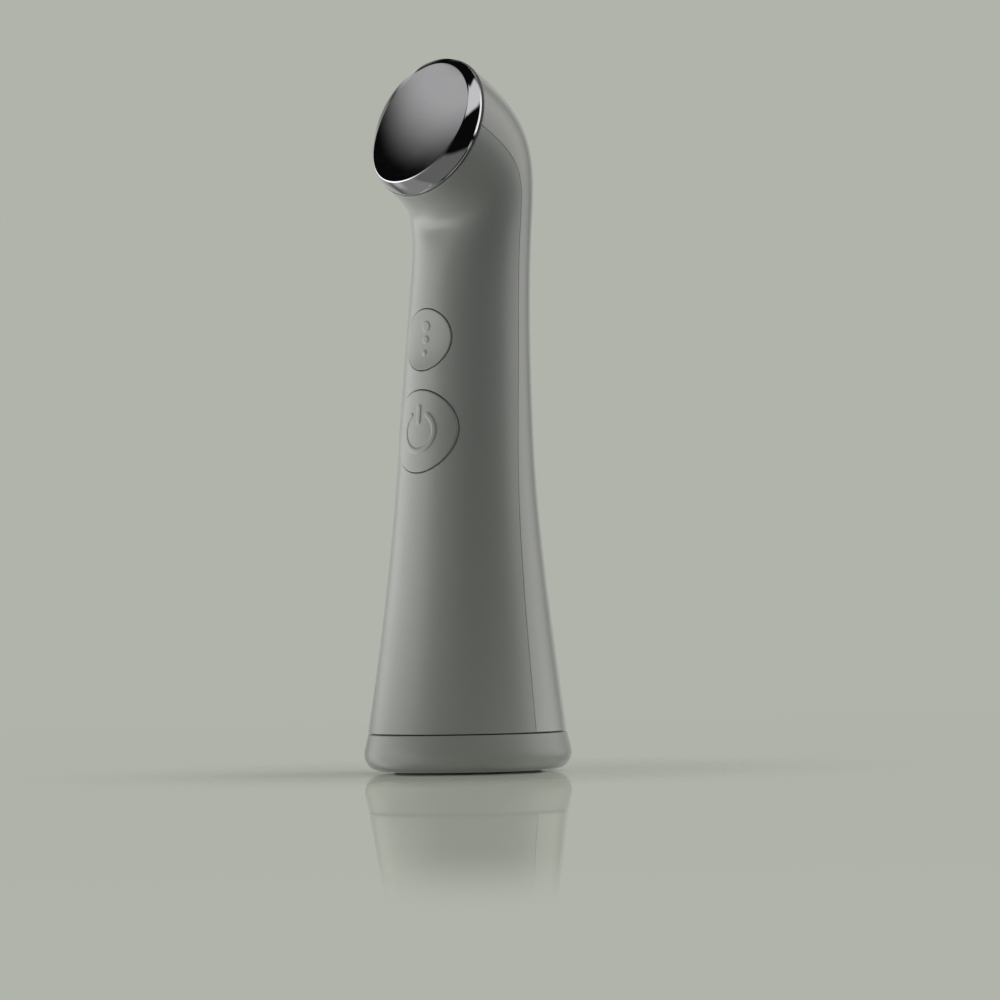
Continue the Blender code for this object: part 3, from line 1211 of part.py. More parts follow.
def main():
    inner_cutter("cavity", SHELL_WALL + SEAT_GAP)
    inner_cutter("wall_middle", SHELL_WALL / 2)
    base_cap()
    foot_pad()
    cap_seal()
    contact_holder()
    bridge_contact()
    cell_spring("lower_cell_spring", -CELL_OFFSET, BRIDGE_TOP + SEAT_GAP)
    front_shell()
    rear_shell()
    battery_tray()
    cell("battery_left", -CELL_OFFSET, True)
    cell("battery_right", CELL_OFFSET, False)
    contact_plate("positive_contact", -CELL_OFFSET, NUB_RADIUS)
    contact_plate("negative_contact", CELL_OFFSET)
    cell_spring("upper_cell_spring", CELL_OFFSET, CELL_TOP + SEAT_GAP)
    main_board()
    board_screws()
    switch("power_switch", POWER_HEIGHT)
    switch("mode_switch", MODE_HEIGHT)
    board_components()
    stem("power_stem", POWER_HEIGHT)
    stem("mode_stem", MODE_HEIGHT)
    power_button()
    mode_button()
    motor_bulkhead()
    vibration_motor()
    motor_shaft()
    eccentric_weight()
    treatment_head()
    head_gasket()
    head_frame()
    head_screws()
    heater_stack()
    leads()
    group("base_group", Vector((0, 0, 0)),
          ("base_cap", "foot_pad", "cap_seal", "contact_holder", "bridge_contact",
           "lower_cell_spring"))
    group("power_group", Vector((0, front_at(POWER_HEIGHT), POWER_HEIGHT)),
          ("power_button", "power_stem"))
    group("mode_group", Vector((0, front_at(MODE_HEIGHT), MODE_HEIGHT)),
          ("mode_button", "mode_stem"))
    group("rotor_group", Vector((0, MOTOR_LINE, MOTOR_TOP)), ("motor_shaft", "eccentric_weight"))


main()
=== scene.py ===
"""Looks of a battery-powered skincare wand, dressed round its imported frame.

The wand stands on its base cap, +Z up, with its buttons and treatment head towards -Y. Each
sub-assembly is a class that works out its surfaces as whole arrays, makes them into meshes and
gives them their finish. All lengths are in metres.
"""
import json
import logging
import math
from collections.abc import Callable
from dataclasses import dataclass, field
from enum import Enum
from functools import cached_property

import bmesh
import bpy
import numpy as np
from mathutils import Matrix, Vector


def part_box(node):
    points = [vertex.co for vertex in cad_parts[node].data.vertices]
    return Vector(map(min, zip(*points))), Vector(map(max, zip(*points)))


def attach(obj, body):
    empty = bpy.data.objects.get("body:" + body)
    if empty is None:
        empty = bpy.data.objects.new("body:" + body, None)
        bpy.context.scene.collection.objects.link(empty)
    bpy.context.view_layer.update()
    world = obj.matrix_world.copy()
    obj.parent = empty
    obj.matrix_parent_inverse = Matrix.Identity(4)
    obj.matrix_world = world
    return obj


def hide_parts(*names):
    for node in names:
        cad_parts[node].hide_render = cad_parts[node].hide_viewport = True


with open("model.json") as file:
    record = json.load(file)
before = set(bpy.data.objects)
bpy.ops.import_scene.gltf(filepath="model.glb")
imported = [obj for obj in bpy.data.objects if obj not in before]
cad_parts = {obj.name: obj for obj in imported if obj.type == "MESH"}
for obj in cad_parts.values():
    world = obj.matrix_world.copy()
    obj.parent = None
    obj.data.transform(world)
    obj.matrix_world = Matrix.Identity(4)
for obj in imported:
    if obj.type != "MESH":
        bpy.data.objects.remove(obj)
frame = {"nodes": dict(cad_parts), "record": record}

log = logging.getLogger("wand")

MM = 0.001
MERGE_DISTANCE = 0.0005 * MM
SHARP_ANGLE = math.radians(38)
TURN_STEPS = 192
SMALL_STEP = 1e-4

Array = np.ndarray
Socket = bpy.types.NodeSocket


def low(node: str) -> Vector:
    """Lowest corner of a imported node."""
    return Vector(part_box(node)[0])


def high(node: str) -> Vector:
    """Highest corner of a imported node."""
    return Vector(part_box(node)[1])


def middle(node: str) -> Vector:
    """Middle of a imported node's box."""
    return (low(node) + high(node)) / 2


# Surfaces as arrays

def stack(*parts: Array) -> Array:
    """Join coordinate arrays of like or broadcastable shape into points."""
    return np.stack(np.broadcast_arrays(*parts), axis=-1)


def once_round(steps: int) -> Array:
    """Angles of points that are spaced evenly once round."""
    return np.arange(steps) * math.tau / steps


def bezier(start: Array, control: Array, end: Array, steps: int) -> Array:
    """Rows of points on the quadratic curve from start to end that leans towards control.

    Args:
        start: first row of points.
        control: points that the curve leans towards.
        end: last row of points.
        steps: how many stretches lie between the two rows.

    Returns:
        An array of steps + 1 rows: (1-t)^2 start + 2t(1-t) control + t^2 end.
    """
    t = np.linspace(0, 1, steps + 1).reshape((-1,) + (1,) * start.ndim)
    return (1 - t) ** 2 * start + 2 * t * (1 - t) * control + t ** 2 * end


def rounded_profile(corners: list[tuple[float, float, float]], steps: int = 6) -> Array:
    """An open outline of radius and height pairs with its corners rounded.

    Args:
        corners: radius, height and rounding distance of each corner, in order.
        steps: stretches in each rounded corner.

    Returns:
        The outline's points; a corner with no rounding stays one point.
    """
    points = np.array([corner[:2] for corner in corners])
    runs = []
    for index, corner in enumerate(corners):
        here = points[index]
        if corner[2] == 0 or index in (0, len(corners) - 1):
            runs.append(here[None])
            continue
        before = points[index - 1] - here
        after = points[index + 1] - here
        reach = min(corner[2], np.linalg.norm(before) / 2, np.linalg.norm(after) / 2)
        start = here + reach * before / np.linalg.norm(before)
        end = here + reach * after / np.linalg.norm(after)
        runs.append(bezier(start, here, end, steps))
    return np.concatenate(runs)


def arc_points(centre: tuple[float, float], radius: float, first: float, last: float,
               steps: int) -> list[tuple[float, float, float]]:
    """Unrounded corners along an arc, with angles in degrees from straight out.

    Args:
        centre: radius and height of the arc's centre.
        radius: radius of the arc.
        first: angle of its first point.
        last: angle of its last point.
        steps: how many stretches it has.

    Returns:
        Radius, height and a rounding of zero for each point.
    """
    angles = np.radians(np.linspace(first, last, steps + 1))
    return [(centre[0] + radius * math.cos(angle), centre[1] + radius * math.sin(angle), 0)
            for angle in angles]


def turned(profile: Array, steps: int = TURN_STEPS) -> Array:
    """Grid of a profile carried round +Z: (radius cos t, radius sin t, height).

    Args:
        profile: radius and height pairs.
        steps: how many points go once round.

    Returns:
        One row of points for each pair.
    """
    turn = once_round(steps)
    radius, height = profile[:, :1], profile[:, 1:2]
    return stack(radius * np.cos(turn), radius * np.sin(turn), height)


def seated(points: Array, origin: Vector, axis: Vector) -> Array:
    """Stand points on an origin, with their own Z along an axis and their X along +X.

    Args:
        points: points in their own frame.
        origin: where their zero goes.
        axis: where their Z points, square to X.

    Returns:
        The points in the wand's frame.
    """
    side = Vector((1, 0, 0))
    turn = np.array((side, axis.cross(side), axis))
    return points @ turn + np.array(origin)


def tube(path: Array, radius: float, aside: Vector, sides: int = 16) -> Array:
    """Grid of a round wire along a path, closed to a point at both ends.

    Args:
        path: points along the middle of the wire.
        radius: radius of the wire.
        aside: a direction that the path never follows.
        sides: how many points go round it.

    Returns:
        Rows of points: centre + radius (cos t first + sin t second), square to the path.
    """
    run = np.gradient(path, axis=0)
    run /= np.linalg.norm(run, axis=1, keepdims=True)
    first = np.array(aside) - (run @ np.array(aside))[:, None] * run
    first /= np.linalg.norm(first, axis=1, keepdims=True)
    second = np.cross(run, first)
    turn = once_round(sides)[None, :, None]
    ring = np.cos(turn) * first[:, None] + np.sin(turn) * second[:, None]
    body = path[:, None] + radius * ring
    swell = np.array((0.0, 0.6, 0.9))[:, None, None]
    back = np.array((1.0, 0.8, 0.45))[:, None, None]
    head = path[0] + radius * (swell * ring[0] - back * run[0])
    tail = path[-1] + radius * (swell * ring[-1] + back * run[-1])
    return np.concatenate((head, body, tail[::-1]))


def rounded_block(size: tuple[float, float, float], rounding: float, steps: int = 6) -> Array:
    """Grid of a box whose edges are rounded: a small sphere carried over a smaller box.

    Args:
        size: width, depth and height, centred on the origin.
        rounding: radius of the edges.
        steps: stretches in each quarter turn.

    Returns:
        One grid, with its first and last rows drawn in to close the flat ends.
    """
    core = np.maximum(np.array(size) / 2 - rounding, 0)
    quarter = np.linspace(0, math.pi / 2, steps + 1)
    turn = np.concatenate([quarter + step * math.pi / 2 for step in range(4)])
    sign_x = np.repeat((1, -1, -1, 1), steps + 1)
    sign_y = np.repeat((1, 1, -1, -1), steps + 1)
    rise = np.concatenate((quarter - math.pi / 2, quarter))[:, None]
    sign_z = np.repeat((-1, 1), steps + 1)[:, None]
    grid = stack(sign_x * core[0] + rounding * np.cos(rise) * np.cos(turn),
                 sign_y * core[1] + rounding * np.cos(rise) * np.sin(turn),
                 sign_z * core[2] + rounding * np.sin(rise) + 0 * turn)
    ends = [row * np.array((0, 0, 1)) for row in (grid[:1], grid[-1:])]
    return np.concatenate((ends[0], grid, ends[1]))


@dataclass
class Skin:
    """Grids of one piece, gathered and then welded into one closed mesh."""

    name: str
    points: list[Array] = field(default_factory=list)
    faces: list[Array] = field(default_factory=list)
    masks: list[Array] = field(default_factory=list)
    count: int = 0

    def add(self, grid: Array, closed: bool = True, mask: Array | float = 0.0,
            keep: Array | None = None) -> "Skin":
        """Add a grid of points.

        Args:
            grid: rows of points, as an array of rows, columns and coordinates.
            closed: whether the last column meets the first.
            mask: one value, or one for each row, kept as the mesh's mask attribute.
            keep: which cells are skinned; all of them if left out.

        Returns:
            The skin itself, so that calls can follow each other.
        """
        rows, columns = grid.shape[:2]
        across = columns if closed else columns - 1
        row, column = np.meshgrid(np.arange(rows - 1), np.arange(across), indexing="ij")
        if keep is not None:
            row, column = row[keep], column[keep]
        after = (column + 1) % columns
        quads = np.stack((row * columns + column, row * columns + after,
                          (row + 1) * columns + after, (row + 1) * columns + column), axis=-1)
        self.points.append(grid.reshape(-1, 3))
        self.faces.append(quads.reshape(-1, 4) + self.count)
        value = np.broadcast_to(np.asarray(mask, dtype=float).reshape(-1, 1), (rows, columns))
        self.masks.append(value.reshape(-1))
        self.count += rows * columns
        return self

    def build(self) -> bpy.types.Object:
        """Weld the grids, turn the faces outward and link the piece.

        Returns:
            The piece, which still needs its finish and its body.
        """
        points = np.concatenate(self.points)
        faces = np.concatenate(self.faces)
        used, numbers = np.unique(faces, return_inverse=True)
        mesh = bpy.data.meshes.new(self.name)
        mesh.from_pydata(points[used], [], numbers.reshape(-1, 4).tolist())
        layer = mesh.attributes.new("mask", "FLOAT", "POINT")
        layer.data.foreach_set("value", np.concatenate(self.masks)[used].astype(np.float32))
        welded = bmesh.new()
        welded.from_mesh(mesh)
        bmesh.ops.remove_doubles(welded, verts=welded.verts, dist=MERGE_DISTANCE)
        bmesh.ops.recalc_face_normals(welded, faces=welded.faces)
        open_edges = sum(1 for edge in welded.edges if not edge.is_manifold)
        welded.to_mesh(mesh)
        welded.free()
        mesh.shade_smooth()
        mesh.set_sharp_from_angle(angle=SHARP_ANGLE)
        piece = bpy.data.objects.new(self.name, mesh)
        bpy.context.scene.collection.objects.link(piece)
        log.info("%s: %d faces, %d open edges", self.name, len(mesh.polygons), open_edges)
        return piece


# The body's outer surface

@dataclass(frozen=True)
class StationCurve:
    """A natural cubic curve through values at places 0, 1, 2 and so on."""

    values: Array

    @cached_property
    def bends(self) -> Array:
        """Second derivatives at the stations, zero at both ends.

        Returns:
            One value for each station, from the natural curve's equations.
        """
        inner = len(self.values) - 2
        system = 4 * np.eye(inner) + np.eye(inner, k=1) + np.eye(inner, k=-1)
        bends = np.zeros(len(self.values))
        bends[1:-1] = np.linalg.solve(system, 6 * np.diff(self.values, 2))
        return bends

    def at(self, place: Array) -> Array:
        """Value at each place: a straight part and a cubic part between two stations.

        Args:
            place: places along the curve.

        Returns:
            The curve's value at each place.
        """
        place = np.asarray(place, dtype=float)
        index = np.clip(place.astype(int), 0, len(self.values) - 2)
        after = place - index
        before = 1 - after
        straight = before * self.values[index] + after * self.values[index + 1]
        curved = ((before ** 3 - before) * self.bends[index]
                  + (after ** 3 - after) * self.bends[index + 1])
        return straight + curved / 6


@dataclass(frozen=True)
class BodyForm:
    """The surface that the shell halves and the buttons share.

    A section's place runs from 0 at the lower edge to the last station at the head. Sections are
    ovals, level in the handle and leaned forward in the head. Angles go round from the front
    towards +X.
    """

    bottom: float = 8.45 * MM
    head_clearance: float = 0.8 * MM
    lower_edge_radius: float = 20.9 * MM
    neck_radius: float = 12.8 * MM
    crown_half_depth: float = 14.9 * MM
    crown_half_width: float = 15.2 * MM
    head_radius: float = 15.6 * MM
    neck_setback: float = 3.8 * MM
    crown_setback: float = 2.6 * MM
    head_reach: float = 8.3 * MM
    head_tilt: float = math.radians(70.5)
    tilt_start_share: float = 0.533
    height_shares: tuple[float, ...] = (0.0, 0.186, 0.407, 0.628, 0.8075, 0.929, 1.0)
    flare_shares: tuple[float, ...] = (1.0, 0.605, 0.247, 0.056)
    spine_shares: tuple[float, ...] = (0.0, 0.125, 0.237, 0.54)
    parting_angles: tuple[float, ...] = (88, 89, 92.5, 98, 96.5, 89.5, 88.5)

    @property
    def stations(self) -> int:
        """Number of stretches between stations."""
        return len(self.height_shares) - 1

    @property
    def top(self) -> float:
        """Height of the centre of the head end, stacked on the motor's bulkhead."""
        rise = self.head_radius * math.sin(self.head_tilt)
        return high("motor_bulkhead").z + self.head_clearance + rise

    @cached_property
    def height(self) -> StationCurve:
        """Height of each section's centre."""
        return StationCurve(self.bottom + (self.top - self.bottom) * np.array(self.height_shares))

    @cached_property
    def spine(self) -> StationCurve:
        """Place along Y of each section's centre.

        Returns:
            A curve that swings back at the neck and forward at the head.
        """
        handle = [self.neck_setback * share for share in self.spine_shares]
        return StationCurve(np.array(
            handle + [self.neck_setback, self.crown_setback, -self.head_reach]))

    def radii(self, crown: float) -> StationCurve:
        """Half size of the sections, which differs in depth and width only at the crown.

        Args:
            crown: half size at the crown.

        Returns:
            A curve of half sizes.
        """
        flare = self.lower_edge_radius - self.neck_radius
        handle = [self.neck_radius + flare * share for share in self.flare_shares]
        return StationCurve(np.array(handle + [self.neck_radius, crown, self.head_radius]))

    @cached_property
    def half_depth(self) -> StationCurve:
        """Half size of the sections from front to back."""
        return self.radii(self.crown_half_depth)

    @cached_property
    def half_width(self) -> StationCurve:
        """Half size of the sections from side to side."""
        return self.radii(self.crown_half_width)

    @cached_property
    def parting(self) -> StationCurve:
        """Angle of the parting line from the front."""
        return StationCurve(np.radians(self.parting_angles))

    def back(self, place: Array) -> Array:
        """Unit vectors from the sections' centres to their backs.

        Args:
            place: places along the body.

        Returns:
            Vectors that lean forward smoothly from the start of the tilt to the head.
        """
        share = np.asarray(place) / self.stations
        turn = np.clip((share - self.tilt_start_share) / (1 - self.tilt_start_share), 0, 1)
        lean = self.head_tilt * turn * turn * (3 - 2 * turn)
        return stack(0.0, np.cos(lean), np.sin(lean))

    def centre(self, place: Array) -> Array:
        """Centres of the sections."""
        return stack(0.0, self.spine.at(place), self.height.at(place))

    def surface(self, place: Array, angle: Array) -> Array:
        """Points on the body: centre + width sin(angle) X - depth cos(angle) back.

        Args:
            place: places along the body.
            angle: angles round it from the front.

        Returns:
            One point for each pair.
        """
        place, angle = np.broadcast_arrays(place, angle)
        across = self.half_width.at(place) * np.sin(angle)
        reach = self.half_depth.at(place) * np.cos(angle)
        side = np.array((1.0, 0.0, 0.0))
        return self.centre(place) + across[..., None] * side - reach[..., None] * self.back(place)

    def under(self, place: Array, angle: Array, depth: float) -> Array:
        """Points a depth under the body's surface, square to it.

        Args:
            place: places along the body.
            angle: angles round it from the front.
            depth: how far under the surface.

        Returns:
            Surface less depth times the unit normal, from small steps along and around.
        """
        step = SMALL_STEP
        along = self.surface(place + step, angle) - self.surface(place - step, angle)
        around = self.surface(place, angle + step) - self.surface(place, angle - step)
        normal = np.cross(around, along)
        normal /= np.linalg.norm(normal, axis=-1, keepdims=True)
        return self.surface(place, angle) - depth * normal

    def speed(self, place: float, step: float = 10 * SMALL_STEP) -> float:
        """Length of the middle line for one unit of place, measured over a small step."""
        ends = self.centre(np.array((place, place + step)))
        return float(np.linalg.norm(ends[1] - ends[0])) / step

    def place_at(self, height: Array) -> Array:
        """Place of the section whose centre is at a height, read from a fine table."""
        places = np.linspace(0, self.stations, 400 * self.stations + 1)
        return np.interp(height, self.height.at(places), places)

    def locate(self, across: Array, height: Array, depth: float) -> tuple[Array, Array]:
        """Find where the front lies behind points seen from straight ahead.

        Args:
            across: places along X.
            height: places along Z.
            depth: how far under the surface.

        Returns:
            Place and angle whose point at that depth has that X and Z, by Newton's steps.
        """
        place = self.place_at(height)
        angle = np.arcsin(np.clip(across / self.half_width.at(place), -0.95, 0.95))
        step = SMALL_STEP
        for _ in range(8):
            here = self.under(place, angle, depth)[..., ::2]
            by_place = (self.under(place + step, angle, depth)[..., ::2] - here) / step
            by_angle = (self.under(place, angle + step, depth)[..., ::2] - here) / step
            miss = stack(across, height) - here
            area = by_place[..., 0] * by_angle[..., 1] - by_place[..., 1] * by_angle[..., 0]
            place = place + (miss[..., 0] * by_angle[..., 1] - miss[..., 1] * by_angle[..., 0]) / area
            angle = angle + (by_place[..., 0] * miss[..., 1] - by_place[..., 1] * miss[..., 0]) / area
        return place, angle

    def front(self, across: Array, height: Array, proud: float = 0.0) -> Array:
        """Place along Y of the front, raised by an amount: spine - sqrt(radius^2 - across^2).

        Args:
            across: places along X.
            height: places along Z.
            proud: how far it is raised.

        Returns:
            Places along Y.
        """
        place = self.place_at(height)
        radius = self.half_depth.at(place) + proud
        return self.spine.at(place) - np.sqrt(np.maximum(radius ** 2 - across ** 2, 0))


FORM = BodyForm()
POWER_HEIGHT = middle("power_switch").z
MODE_HEIGHT = middle("mode_switch").z
POWER_RADIUS = 8.6 * MM
MODE_RADIUS = 6.4 * MM
BUTTON_GAP = 0.2 * MM
SEAT_GAP = 0.3 * MM
SHELL_WALL = 1.6 * MM
STEM_FRONT = low("power_stem").y
HEAD_FORWARD = Vector((0, -math.sin(FORM.head_tilt), math.cos(FORM.head_tilt)))
HEAD_SEAM_GAP = 0.35 * MM
RING_CENTRE = Vector(FORM.centre(np.array(float(FORM.stations)))) + HEAD_SEAM_GAP * HEAD_FORWARD


# Shader node groups and finishes

PLAIN_GREY = (0.5, 0.5, 0.5, 1.0)
CELL_METAL = (0.62, 0.60, 0.56, 1.0)
TINNED = (0.70, 0.70, 0.68, 1.0)
COAT_ROUGHNESS = 0.08
GROUPS: dict[str, bpy.types.NodeTree] = {}
MATERIALS: dict[str, bpy.types.Material] = {}


class Tree:
    """Short calls for building one node tree."""

    def __init__(self, tree: bpy.types.NodeTree) -> None:
        """Keep the tree that nodes are added to."""
        self.tree = tree

    def feed(self, node: bpy.types.Node, inputs: dict) -> None:
        """Set a node's inputs to values, or link them to output sockets.

        Args:
            node: the node.
            inputs: values or output sockets, by name or number.
        """
        for key, value in inputs.items():
            if isinstance(value, Socket):
                self.tree.links.new(value, node.inputs[key])
            else:
                node.inputs[key].default_value = value

    def add(self, kind: str, inputs: dict | None = None, **settings: object) -> bpy.types.Node:
        """Add a node.

        Args:
            kind: type name of the node.
            inputs: values or output sockets for its inputs, by name or number.
            settings: properties of the node.

        Returns:
            The new node.
        """
        node = self.tree.nodes.new(kind)
        for name, value in settings.items():
            setattr(node, name, value)
        self.feed(node, inputs or {})
        return node

    def group(self, name: str, **inputs: object) -> bpy.types.NodeOutputs:
        """Place a shared node group with its own values and return its outputs."""
        return self.add("ShaderNodeGroup", inputs, node_tree=GROUPS[name]).outputs

    def math(self, operation: str, first: object, second: object = 0.0) -> Socket:
        """Add a sum on one or two numbers and return its output."""
        return self.add("ShaderNodeMath", {0: first, 1: second}, operation=operation).outputs[0]

    def vector(self, operation: str, output: str, *values: object) -> Socket:
        """Add a sum on vectors and return one of its outputs."""
        node = self.add("ShaderNodeVectorMath", dict(enumerate(values)), operation=operation)
        return node.outputs[output]

    def mapped(self, vector: Socket, turn: tuple, stretch: tuple) -> Socket:
        """Turn and stretch a pattern's coordinates."""
        return self.add("ShaderNodeMapping", {0: vector, 2: turn, 3: stretch}).outputs[0]

    def noise(self, vector: Socket, scale: object, detail: float = 3.0) -> Socket:
        """Add a noise texture and return its value."""
        node = self.add("ShaderNodeTexNoise", {"Vector": vector, "Scale": scale, "Detail": detail})
        return node.outputs[0]

    def span(self, value: Socket, start: float, end: float, first: float = 0.0,
             last: float = 1.0) -> Socket:
        """Add a smooth map from one range to another and return its output.

        Args:
            value: what is mapped.
            start: where the range starts.
            end: where it ends.
            first: result up to the start.
            last: result from the end on.

        Returns:
            The result's socket.
        """
        node = self.add("ShaderNodeMapRange", {0: value, 1: start, 2: end, 3: first, 4: last},
                        interpolation_type="SMOOTHSTEP")
        return node.outputs[0]

    def mix(self, share: object, first: object, second: object) -> Socket:
        """Add a blend of two colours and return its output."""
        node = self.add("ShaderNodeMix", {0: share, 6: first, 7: second}, data_type="RGBA")
        return node.outputs[2]

    def blend(self, share: object, first: Socket, second: Socket) -> Socket:
        """Add a blend of two shaders and return its output."""
        return self.add("ShaderNodeMixShader", {0: share, 1: first, 2: second}).outputs[0]


def new_group(name: str, inputs: dict[str, object],
              outputs: dict[str, str]) -> tuple[Tree, bpy.types.NodeOutputs, bpy.types.Node]:
    """Start a shader node group.

    Args:
        name: short name of the group.
        inputs: default value of each input: a number, a colour, or nothing for coordinates.
        outputs: socket kind of each output, Float or Color.

    Returns:
        The group's builder, what its input node gives, and its output node.
    """
    tree = Tree(bpy.data.node_groups.new(name, "ShaderNodeTree"))
    kinds = {type(None): "NodeSocketVector", float: "NodeSocketFloat", tuple: "NodeSocketColor"}
    for label, value in inputs.items():
        socket = tree.tree.interface.new_socket(label, in_out="INPUT", socket_type=kinds[type(value)])
        if value is not None:
            socket.default_value = value
    for label, kind in outputs.items():
        tree.tree.interface.new_socket(label, in_out="OUTPUT", socket_type=f"NodeSocket{kind}")
    GROUPS[name] = tree.tree
    return tree, tree.add("NodeGroupInput").outputs, tree.add("NodeGroupOutput")


def moulding_grain() -> None:
    """Moulding grain: a fine noise for relief and broad ones for shade and gloss."""
    tree, given, result = new_group(
        "moulding_grain",
        {"Vector": None, "Colour": PLAIN_GREY, "Scale": 2000.0, "Mottle": 0.05, "Roughness": 0.4,
         "Spread": 0.05},
        {"Colour": "Color", "Roughness": "Float", "Height": "Float"})
    fine = tree.noise(given["Vector"], given["Scale"], 4.0)
    broad = tree.noise(given["Vector"], tree.math("MULTIPLY", given["Scale"], 0.06), 2.0)
    cloud = tree.noise(given["Vector"], tree.math("MULTIPLY", given["Scale"], 0.015), 3.0)
    swing = tree.math("SUBTRACT", tree.math("ADD", broad, fine), 1.0)
    lift = tree.math("ADD", tree.math("MULTIPLY", swing, given["Mottle"]), 1.0)
    gloss = tree.math("MULTIPLY", tree.math("SUBTRACT", cloud, 0.5), given["Spread"])
    tree.feed(result, {"Colour": tree.vector("MULTIPLY", "Vector", given["Colour"], lift),
                       "Roughness": tree.math("ADD", given["Roughness"], gloss),
                       "Height": fine})


def pearl_flakes() -> None:
    """Pearl flakes: small cells, each a little lighter or darker than its neighbours."""
    tree, given, result = new_group(
        "pearl_flakes",
        {"Vector": None, "Colour": PLAIN_GREY, "Scale": 5000.0, "Sparkle": 0.1},
        {"Colour": "Color"})
    cells = tree.add("ShaderNodeTexVoronoi", {"Vector": given["Vector"], "Scale": given["Scale"]})
    bright = tree.add("ShaderNodeSeparateColor", {0: cells.outputs["Color"]}).outputs[0]
    swing = tree.math("MULTIPLY", tree.math("SUBTRACT", bright, 0.5), given["Sparkle"])
    lift = tree.math("ADD", swing, 1.0)
    tree.feed(result, {"Colour": tree.vector("MULTIPLY", "Vector", given["Colour"], lift)})


def handling_marks() -> None:
    """Handling marks in the gloss: soft smudges and fine crossing hairlines."""
    tree, given, result = new_group(
        "handling_marks",
        {"Vector": None, "Scale": 90.0, "Roughness": 0.1, "Smudge": 0.1, "Hairlines": 0.05},
        {"Roughness": "Float"})
    cloud = tree.span(tree.noise(given["Vector"], given["Scale"], 5.0), 0.45, 0.75)
    lines = []
    for turn, stretch in ((0.4, 40.0), (1.9, 60.0)):
        drawn = tree.mapped(given["Vector"], (0.3, turn, turn / 2), (1.0, stretch, stretch))
        lines.append(tree.span(tree.noise(drawn, given["Scale"], 2.0), 0.66, 0.74))
    smudge = tree.math("MULTIPLY", cloud, given["Smudge"])
    hair = tree.math("MULTIPLY", tree.math("MAXIMUM", *lines), given["Hairlines"])
    total = tree.math("ADD", tree.math("ADD", given["Roughness"], smudge), hair)
    tree.feed(result, {"Roughness": total})


class Texture(Enum):
    """How a finish varies over its surface."""

    LACQUER = "lacquer"
    POLISHED = "polished"
    MOULDED = "moulded"
    METAL = "metal"
    SLEEVE = "sleeve"
    BOARD = "board"


